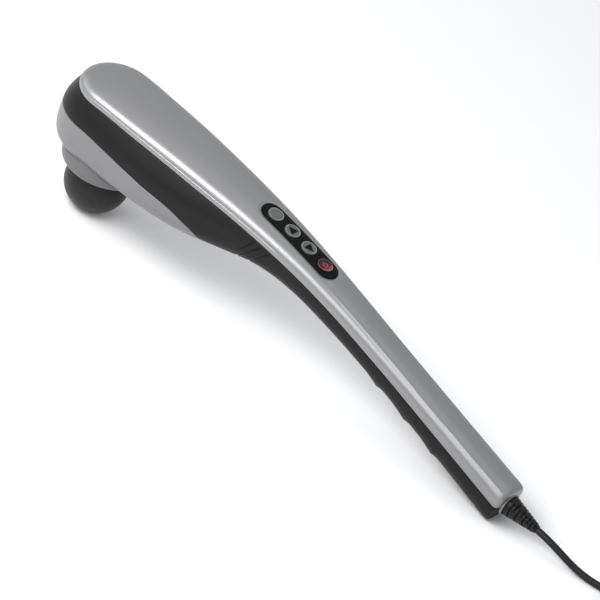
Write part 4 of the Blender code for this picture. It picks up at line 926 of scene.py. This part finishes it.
def plug():
    """Generic two-pin plug: a rounded, waisted body with finger ribs, a ringed tail and sleeved pins."""
    x, y, z = CORD_END[-1]
    base = Matrix.Translation((x + 0.0003, y, z)) @ Matrix.Rotation(pi / 2, 4, "Y")
    mesh = bmesh.new()
    stations = np.linspace(0.0, 1.0, 60)
    count = 64
    grid = []
    for share in stations:
        end = min(share / 0.1, (1 - share) / 0.06, 1.0)
        swell = (1 - (1 - end)**2.5)**(1 / 2.5)
        waist = 1 - 0.07 * exp(-((share - 0.38) / 0.2)**2)
        rib = 0.00025 * (0.5 + 0.5 * cos(2 * pi * share * 14)) if 0.16 < share < 0.6 else 0.0
        neck = 1 - swell if share < 0.5 else 0.0
        half = (PLUG_WIDTH / 2 * waist - 0.004 * (1 - swell)) * (1 - 0.7 * neck)
        thick = (PLUG_THICKNESS / 2 * waist - 0.003 * (1 - swell)) * (1 - 0.55 * neck)
        ring = []
        for i in range(count):
            a = 2 * pi * i / count
            c, w = cos(a), sin(a)
            across = copysign(abs(c)**0.55, c) * (half - rib)
            up = copysign(abs(w)**0.62, w) * (thick - rib)
            ring.append(mesh.verts.new((-up, across, PLUG_TAIL + PLUG_LENGTH * share)))
        grid.append(ring)
    skin(mesh, grid)
    body = settle("plug_shell", mesh, base)
    profile = [(0.0, PLUG_TAIL + 0.004), (0.0054, PLUG_TAIL + 0.004)]
    for j in range(60, -1, -1):
        share = j / 60
        radius = 0.0031 + 0.0023 * share
        notch = 0.0006 * ease((cos(2 * pi * share * 5) - 0.3) / 0.3) if share < 0.97 else 0.0
        profile.append((radius - notch, PLUG_TAIL * share))
    profile.append((0.0, 0.0))
    tail = turned("plug_tail_sleeve", profile, base, 64)
    tail.parent = body
    pins = []
    for name, side in (("left", 1), ("right", -1)):
        place = base @ Matrix.Translation((0.0, side * PLUG_PIN_PITCH / 2, PLUG_TAIL + PLUG_LENGTH - 0.001))
        tip = PLUG_PIN_LENGTH + 0.0012
        shaft = [(0.0, tip)] + bend(PLUG_PIN_RADIUS - 0.001, tip - 0.001, 0.001)
        shaft += [(PLUG_PIN_RADIUS, 0.0), (0.0, 0.0)]
        tube = [(0.0017, 0.0104), (0.00215, 0.0104), (0.00215, 0.0), (0.0017, 0.0)]
        pins.append((turned(f"plug_pin_{name}_metal", shaft, place, 40),
                     turned(f"plug_pin_{name}_sleeve", tube, place, 40)))
    return body, tail, pins


# Finishes

BLOTCH_SCALE = 32.0
SMUDGE_SCALE = 85.0


def node(tree, kind, settings=None, **sockets):
    """Adds a shader node, and fills its sockets with values or with other nodes' outputs."""
    made = tree.nodes.new("ShaderNode" + kind)
    for key, value in (settings or {}).items():
        setattr(made, key, value)
    for key, value in sockets.items():
        socket = made.inputs[key.replace("_", " ")]
        if isinstance(value, bpy.types.NodeSocket):
            tree.links.new(value, socket)
        else:
            socket.default_value = value
    return made


def spread(tree, value, low, high, start=0.3, end=0.7):
    """Turns a noise value into a range of its own."""
    return node(tree, "MapRange", Value=value, From_Min=start, From_Max=end, To_Min=low,
                To_Max=high).outputs["Result"]


def combine(tree, operation, first, second):
    made = node(tree, "Math", {"operation": operation})
    tree.links.new(first, made.inputs[0])
    tree.links.new(second, made.inputs[1])
    return made.outputs[0]


def surface(name, colour, roughness, grain=0.0004, bump=0.15, cells=0.0, blotch=0.05, speckle=0.0, gloss=0.05,
            metallic=0.0, specular=0.5, coat=0.0, coat_roughness=0.08, sheen=0.0, height=0.00004,
            stretch=(1, 1, 1), bands=0.0):
    """Procedural finish: tone, speckle, moulded or brushed grain, and uneven gloss."""
    material = bpy.data.materials.new(name)
    material.use_nodes = True
    tree = material.node_tree
    shader = tree.nodes["Principled BSDF"]
    where = node(tree, "TexCoord").outputs["Object"]
    drawn = node(tree, "Mapping", Vector=where, Scale=stretch).outputs["Vector"]
    broad = node(tree, "TexNoise", Vector=where, Scale=BLOTCH_SCALE, Detail=3.0, Roughness=0.55).outputs[0]
    fine = node(tree, "TexNoise", Vector=drawn, Scale=1 / grain, Detail=3.0, Roughness=0.6).outputs[0]
    smudge = node(tree, "TexNoise", Vector=where, Scale=SMUDGE_SCALE, Detail=4.0, Roughness=0.6).outputs[0]
    relief = fine
    if cells:
        pits = node(tree, "TexVoronoi", {"feature": "SMOOTH_F1"}, Vector=drawn, Scale=1 / cells).outputs[0]
        relief = combine(tree, "ADD", pits, spread(tree, fine, 0.0, 0.35))
    if bands:
        relief = node(tree, "TexWave", {"wave_type": "BANDS", "bands_direction": "X"}, Vector=where,
                      Scale=1 / bands, Distortion=0.4, Detail=1.0).outputs[1]
    tone = combine(tree, "MULTIPLY", spread(tree, broad, 1 - blotch, 1 + blotch),
                   spread(tree, relief, 1 - speckle, 1 + speckle, 0.2, 0.8))
    tint = node(tree, "VectorMath", {"operation": "SCALE"}, Scale=tone)
    tint.inputs[0].default_value = colour
    uneven = combine(tree, "ADD", spread(tree, smudge, roughness - gloss, roughness + gloss),
                     spread(tree, fine, -gloss / 2, gloss / 2))
    raised = node(tree, "Bump", Strength=bump, Distance=height, Height=relief)
    for output, socket in ((tint.outputs[0], "Base Color"), (uneven, "Roughness"),
                           (raised.outputs[0], "Normal")):
        tree.links.new(output, shader.inputs[socket])
    for socket, value in (("Metallic", metallic), ("Specular IOR Level", specular), ("Coat Weight", coat),
                          ("Coat Roughness", coat_roughness), ("Sheen Weight", sheen)):
        shader.inputs[socket].default_value = value
    return material


# Colour, roughness, grain, bump, cells, blotch, speckle, gloss, and what else sets a finish apart
LOOKS = {
    "silver_paint": ((0.25, 0.25, 0.252), 0.36, 0.00022, 0.03, 0.0003, 0.015, 0.05, 0.02,
                     {"metallic": 0.6, "coat": 0.3, "coat_roughness": 0.22, "height": 0.00001}),
    "charcoal": ((0.0098, 0.0098, 0.0102), 0.4, 0.00035, 0.3, 0.00055, 0.07, 0.06, 0.05, {"specular": 0.15}),
    "pale_grey": ((0.172, 0.172, 0.174), 0.36, 0.0003, 0.16, 0.0005, 0.03, 0.03, 0.05, {"specular": 0.4}),
    "mid_grey": ((0.118, 0.118, 0.12), 0.38, 0.0003, 0.16, 0.0005, 0.03, 0.03, 0.05, {"specular": 0.4}),
    "ball_rubber": ((0.0085, 0.0085, 0.0088), 0.44, 0.0005, 0.35, 0.0009, 0.1, 0.1, 0.06,
                    {"specular": 0.26, "sheen": 0.03}),
    "black_gloss": ((0.002, 0.0028, 0.0024), 0.26, 0.0006, 0.03, 0.0, 0.1, 0.0, 0.04,
                    {"specular": 0.08, "coat": 0.05}),
    "button_grey": ((0.08, 0.097, 0.09), 0.33, 0.0003, 0.1, 0.00035, 0.05, 0.04, 0.05,
                    {"specular": 0.3, "coat": 0.1}),
    "button_red": ((0.022, 0.0035, 0.004), 0.3, 0.0003, 0.1, 0.00035, 0.08, 0.05, 0.05,
                   {"specular": 0.3, "coat": 0.1}),
    "steel": ((0.54, 0.54, 0.55), 0.32, 0.0007, 0.18, 0.0, 0.06, 0.08, 0.08,
              {"metallic": 1.0, "stretch": (0.12, 1, 1)}),
    "brass": ((0.68, 0.48, 0.2), 0.28, 0.0006, 0.14, 0.0, 0.07, 0.06, 0.07,
              {"metallic": 1.0, "stretch": (1, 1, 0.15)}),
    "copper": ((0.66, 0.3, 0.15), 0.3, 0.0004, 0.8, 0.0, 0.1, 0.15, 0.06,
               {"metallic": 0.9, "coat": 0.4, "height": 0.0002, "bands": 0.0035}),
    "board_green": ((0.02, 0.15, 0.06), 0.35, 0.0007, 0.2, 0.0025, 0.12, 0.16, 0.05, {"coat": 0.2}),
    "black_plastic": ((0.0115, 0.0115, 0.0122), 0.42, 0.0003, 0.25, 0.00045, 0.1, 0.1, 0.06, {}),
    "white_plastic": ((0.72, 0.72, 0.69), 0.45, 0.0004, 0.15, 0.0006, 0.05, 0.03, 0.06, {}),
    "wire_red": ((0.48, 0.02, 0.02), 0.36, 0.0005, 0.12, 0.0, 0.1, 0.05, 0.07, {}),
    "wire_blue": ((0.02, 0.08, 0.38), 0.36, 0.0005, 0.12, 0.0, 0.1, 0.05, 0.07, {}),
    "cord_black": ((0.003, 0.003, 0.0033), 0.28, 0.0004, 0.22, 0.0006, 0.12, 0.1, 0.07, {"specular": 0.3}),
    "rim_print": ((0.2, 0.225, 0.215), 0.4, 0.0004, 0.15, 0.0, 0.06, 0.05, 0.05, {"specular": 0.3}),
    "black_print": ((0.003, 0.003, 0.003), 0.45, 0.0004, 0.15, 0.0, 0.1, 0.08, 0.05, {"specular": 0.1}),
    # red of the power symbol's print, and of the painted highlight arcs on the power button
    "red_print": ((0.46, 0.085, 0.085), 0.38, 0.0004, 0.15, 0.0, 0.08, 0.06, 0.05, {"specular": 0.3}),
    "dim_red_print": ((0.3, 0.09, 0.09), 0.4, 0.0004, 0.15, 0.0, 0.08, 0.06, 0.05, {}),
}
FINISHES = {name: surface(name, *row, **more) for name, (*row, more) in LOOKS.items()}
# slots of the printed marks and of the painted highlight arcs
MARK_SLOTS = {"rim_print": "button_grey", "black_print": "black_gloss", "red_print": "button_red",
               "dim_red_print": "button_red"}
SLOT_OF = {row["node"]: row["material_slot"] for row in frame["record"]["subparts"]}


def fit(item, body, slot, *nodes, look=None):
    """Rides a piece on a body, gives it its finish and hides the CAD nodes that it stands for."""
    item.data.materials.clear()
    item.data.materials.append(look or FINISHES[slot])
    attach(item, body)
    if nodes:
        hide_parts(*nodes)
    return item


# Assembly

def screw_place(name, tilted):
    """Frame on a screw's own axis, with Z into the body, and half the screw's length."""
    low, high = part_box(name)
    middle = Vector([(a + b) / 2 for a, b in zip(low, high)])
    up = Vector(spine(middle.x - BALL_X)[2]) if tilted else Vector((0, 0, 1))
    side = Vector((0, 1, 0))
    place = frame_at(middle, side.cross(up), side, up)
    x = middle.x - BALL_X
    point, _, normal = spine(x)
    keel = Vector(point - normal * station(6, x)) + Vector((BALL_X, middle.y, 0.0))
    return place, (high[2] - low[2]) / 2, (place.inverted() @ keel).z


def screw(name, place, seat, tip_height):
    """Pan head screw with a cross recess and a threaded shank, its head down at a well's seat."""
    head, radius, shank, soft = 0.0015, 0.0025, 0.0013, 0.0008
    profile = [(0.0, tip_height), (0.0005, tip_height - 0.0003)]
    turns = max(int((tip_height - seat - 0.0012) / 0.0003), 4)
    for j in range(turns, -1, -1):
        level = seat + 0.0002 + (tip_height - seat - 0.0014) * j / turns
        profile.append((shank + (0.00012 if j % 2 else -0.00008), level))
    profile += [(radius - 0.0001, seat - 0.00005), (radius, seat - 0.0003)]
    profile += bend(radius - soft, seat - head + soft, soft, pi / 2 + 0.2, pi)
    profile += [(0.0, seat - head - 0.0001)]
    item = turned(f"{name}_steel", profile, place, 40)
    wide, long = 0.00026, 0.00135
    cross = [(wide, long), (-wide, long), (-wide, wide), (-long, wide), (-long, -wide), (-wide, -wide),
             (-wide, -long), (wide, -long), (wide, -wide), (long, -wide), (long, wide), (wide, wide)]
    carve(item, [settle("recess", prism(cross[::-1], seat - head - 0.001, seat - head + 0.0009), place)])
    return item


def add_wells(item, names, slot, tilted):
    """Countersunk screw wells: a bore through the shell, and a post and a screw in it."""
    tools = []
    for number, name in enumerate(names, 1):
        place, half, keel = screw_place(name, tilted)
        low, seat = keel + WELL_SINK, max(-half + SCREW_HEAD_ROOM, keel + WALL)
        tools.append(settle("bore", prism(circle(WELL_RADIUS, 40), -0.06, seat), place))
        outer = WELL_RADIUS + POST_WALL
        post = [(WELL_RADIUS, low), (WELL_RADIUS, seat), (PILOT_RADIUS, seat), (PILOT_RADIUS, half),
                (outer, half), (outer, low), (WELL_RADIUS, low)]
        fit(turned(f"{item.name}_post_{number}", post, place, 48), "root", slot)
        fit(screw(name, place, seat, half), "root", "steel", name)
    carve(item, tools)


tip = cover_tip()
top = top_shell()
carve(top, [settle("panel_seat", prism(pill(PANEL_LENGTH + 2 * PANEL_GAP, PANEL_WIDTH + 2 * PANEL_GAP),
                                       -0.012, 0.012), PANEL)])
fit(top, "root", "silver_paint", "top_shell")
housing = lower_housing(tip)
add_wells(housing, ("body_screw_1", "body_screw_2", "body_screw_3"), "charcoal", True)
fit(housing, "root", "charcoal", "lower_housing")
cover = head_cover(tip)
carve(cover, [settle("bush_hole", prism(circle(BUSH_HOLE_RADIUS, 96), 0.03, 0.06),
                     Matrix.Translation((BALL_X, 0, 0)))])
add_wells(cover, ("cover_screw_1", "cover_screw_2"), SLOT_OF["head_cover"], False)
fit(cover, "root", SLOT_OF["head_cover"], "head_cover")
fit(collar(), "root", SLOT_OF["collar_ring"], "collar_ring")
fit(ball(), "plunger_body", "ball_rubber", "massage_ball")
fit(control_panel(), "root", "black_gloss", "control_panel")
for index, name in enumerate(BUTTONS):
    fit(button(index), f"{name}_body", SLOT_OF[name], name)
for mark, kind, index in button_marks():
    fit(mark, f"{BUTTONS[index]}_body", MARK_SLOTS[kind], look=FINISHES[kind])
fit(strain_relief(), "root", SLOT_OF["strain_relief"], "strain_relief")
fit(socket_rim(), "root", "silver_paint")

cord = mains_cord()
strap = fit(coil_tie(), "root", SLOT_OF["cord_tie"], "cord_tie")
body, tail, pins = plug()
fit(body, "root", SLOT_OF["plug_body"], "plug_body")
tail.data.materials.append(FINISHES[SLOT_OF["plug_body"]])
for (metal, sleeve), side in zip(pins, ("left", "right")):
    fit(metal, "root", SLOT_OF[f"plug_pin_{side}"], f"plug_pin_{side}")
    fit(sleeve, "root", "black_plastic")
fit(cord, "root", "cord_black", "cord_lead", "cord_coil", "cord_end")

for name, item in frame["nodes"].items():
    for material_slot in item.material_slots:
        material_slot.material = FINISHES[SLOT_OF[name]]
    if not item.material_slots:
        item.data.materials.append(FINISHES[SLOT_OF[name]])


# Studio

def area_light(name, place, aim, size, power):
    """Softbox of a width and depth that faces a point, with its width level."""
    data = bpy.data.lights.new(name, "AREA")
    data.shape = "RECTANGLE"
    data.size, data.size_y = size
    data.energy = power
    item = add(name, data)
    back = (Vector(place) - Vector(aim)).normalized()
    across = Vector((0, 0, 1)).cross(back).normalized()
    item.matrix_world = frame_at(place, across, back.cross(across), back)
    item.visible_camera = False


def floor():
    mesh = bmesh.new()
    bmesh.ops.create_grid(mesh, x_segments=8, y_segments=8, size=6.0)
    item = piece("studio_floor", mesh)
    material = surface("studio_floor", (0.9, 0.9, 0.9), 0.75, grain=0.004, bump=0.02, blotch=0.004,
                       gloss=0.02, specular=0.2)
    item.data.materials.append(material)


def camera():
    data = bpy.data.cameras.new("camera")
    data.lens, data.sensor_width = CAMERA_LENS, 36.0
    item = add("camera", data)
    back, up = CAMERA_BACK.normalized(), CAMERA_UP.normalized()
    item.matrix_world = frame_at(CAMERA_AIM + back * CAMERA_DISTANCE, up.cross(back), up, back)
    bpy.context.scene.camera = item


floor()
camera()
area_light("shoulder_softbox", (-0.62, -0.95, 1.22), (0.0, 0.0, 0.05), (1.8, 1.1), 14.5)
area_light("head_strip", (-0.27, -0.35, 0.53), (-0.07, 0.0, 0.08), (0.42, 0.16), 1.7)
area_light("handle_strip", (0.02, -0.42, 0.5), (0.1, 0.0, 0.04), (0.6, 0.4), 0.8)
area_light("overhead_softbox", (0.1, 0.55, 1.7), (0.0, 0.0, 0.05), (2.2, 1.2), 3.0)
area_light("head_softbox", (-1.5, -0.1, 0.7), (-0.15, 0.0, 0.05), (0.9, 0.8), 3.0)
area_light("front_softbox", (0.7, -1.6, 0.5), (0.0, 0.0, 0.03), (1.6, 0.8), 2.0)
world = bpy.data.worlds.new("studio")
world.use_nodes = True
world.node_tree.nodes["Background"].inputs["Color"].default_value = (0.96, 0.97, 1.0, 1.0)
world.node_tree.nodes["Background"].inputs["Strength"].default_value = 0.6
bpy.context.scene.world = world
bpy.context.scene.view_settings.view_transform = "Standard"

bpy.context.view_layer.update()
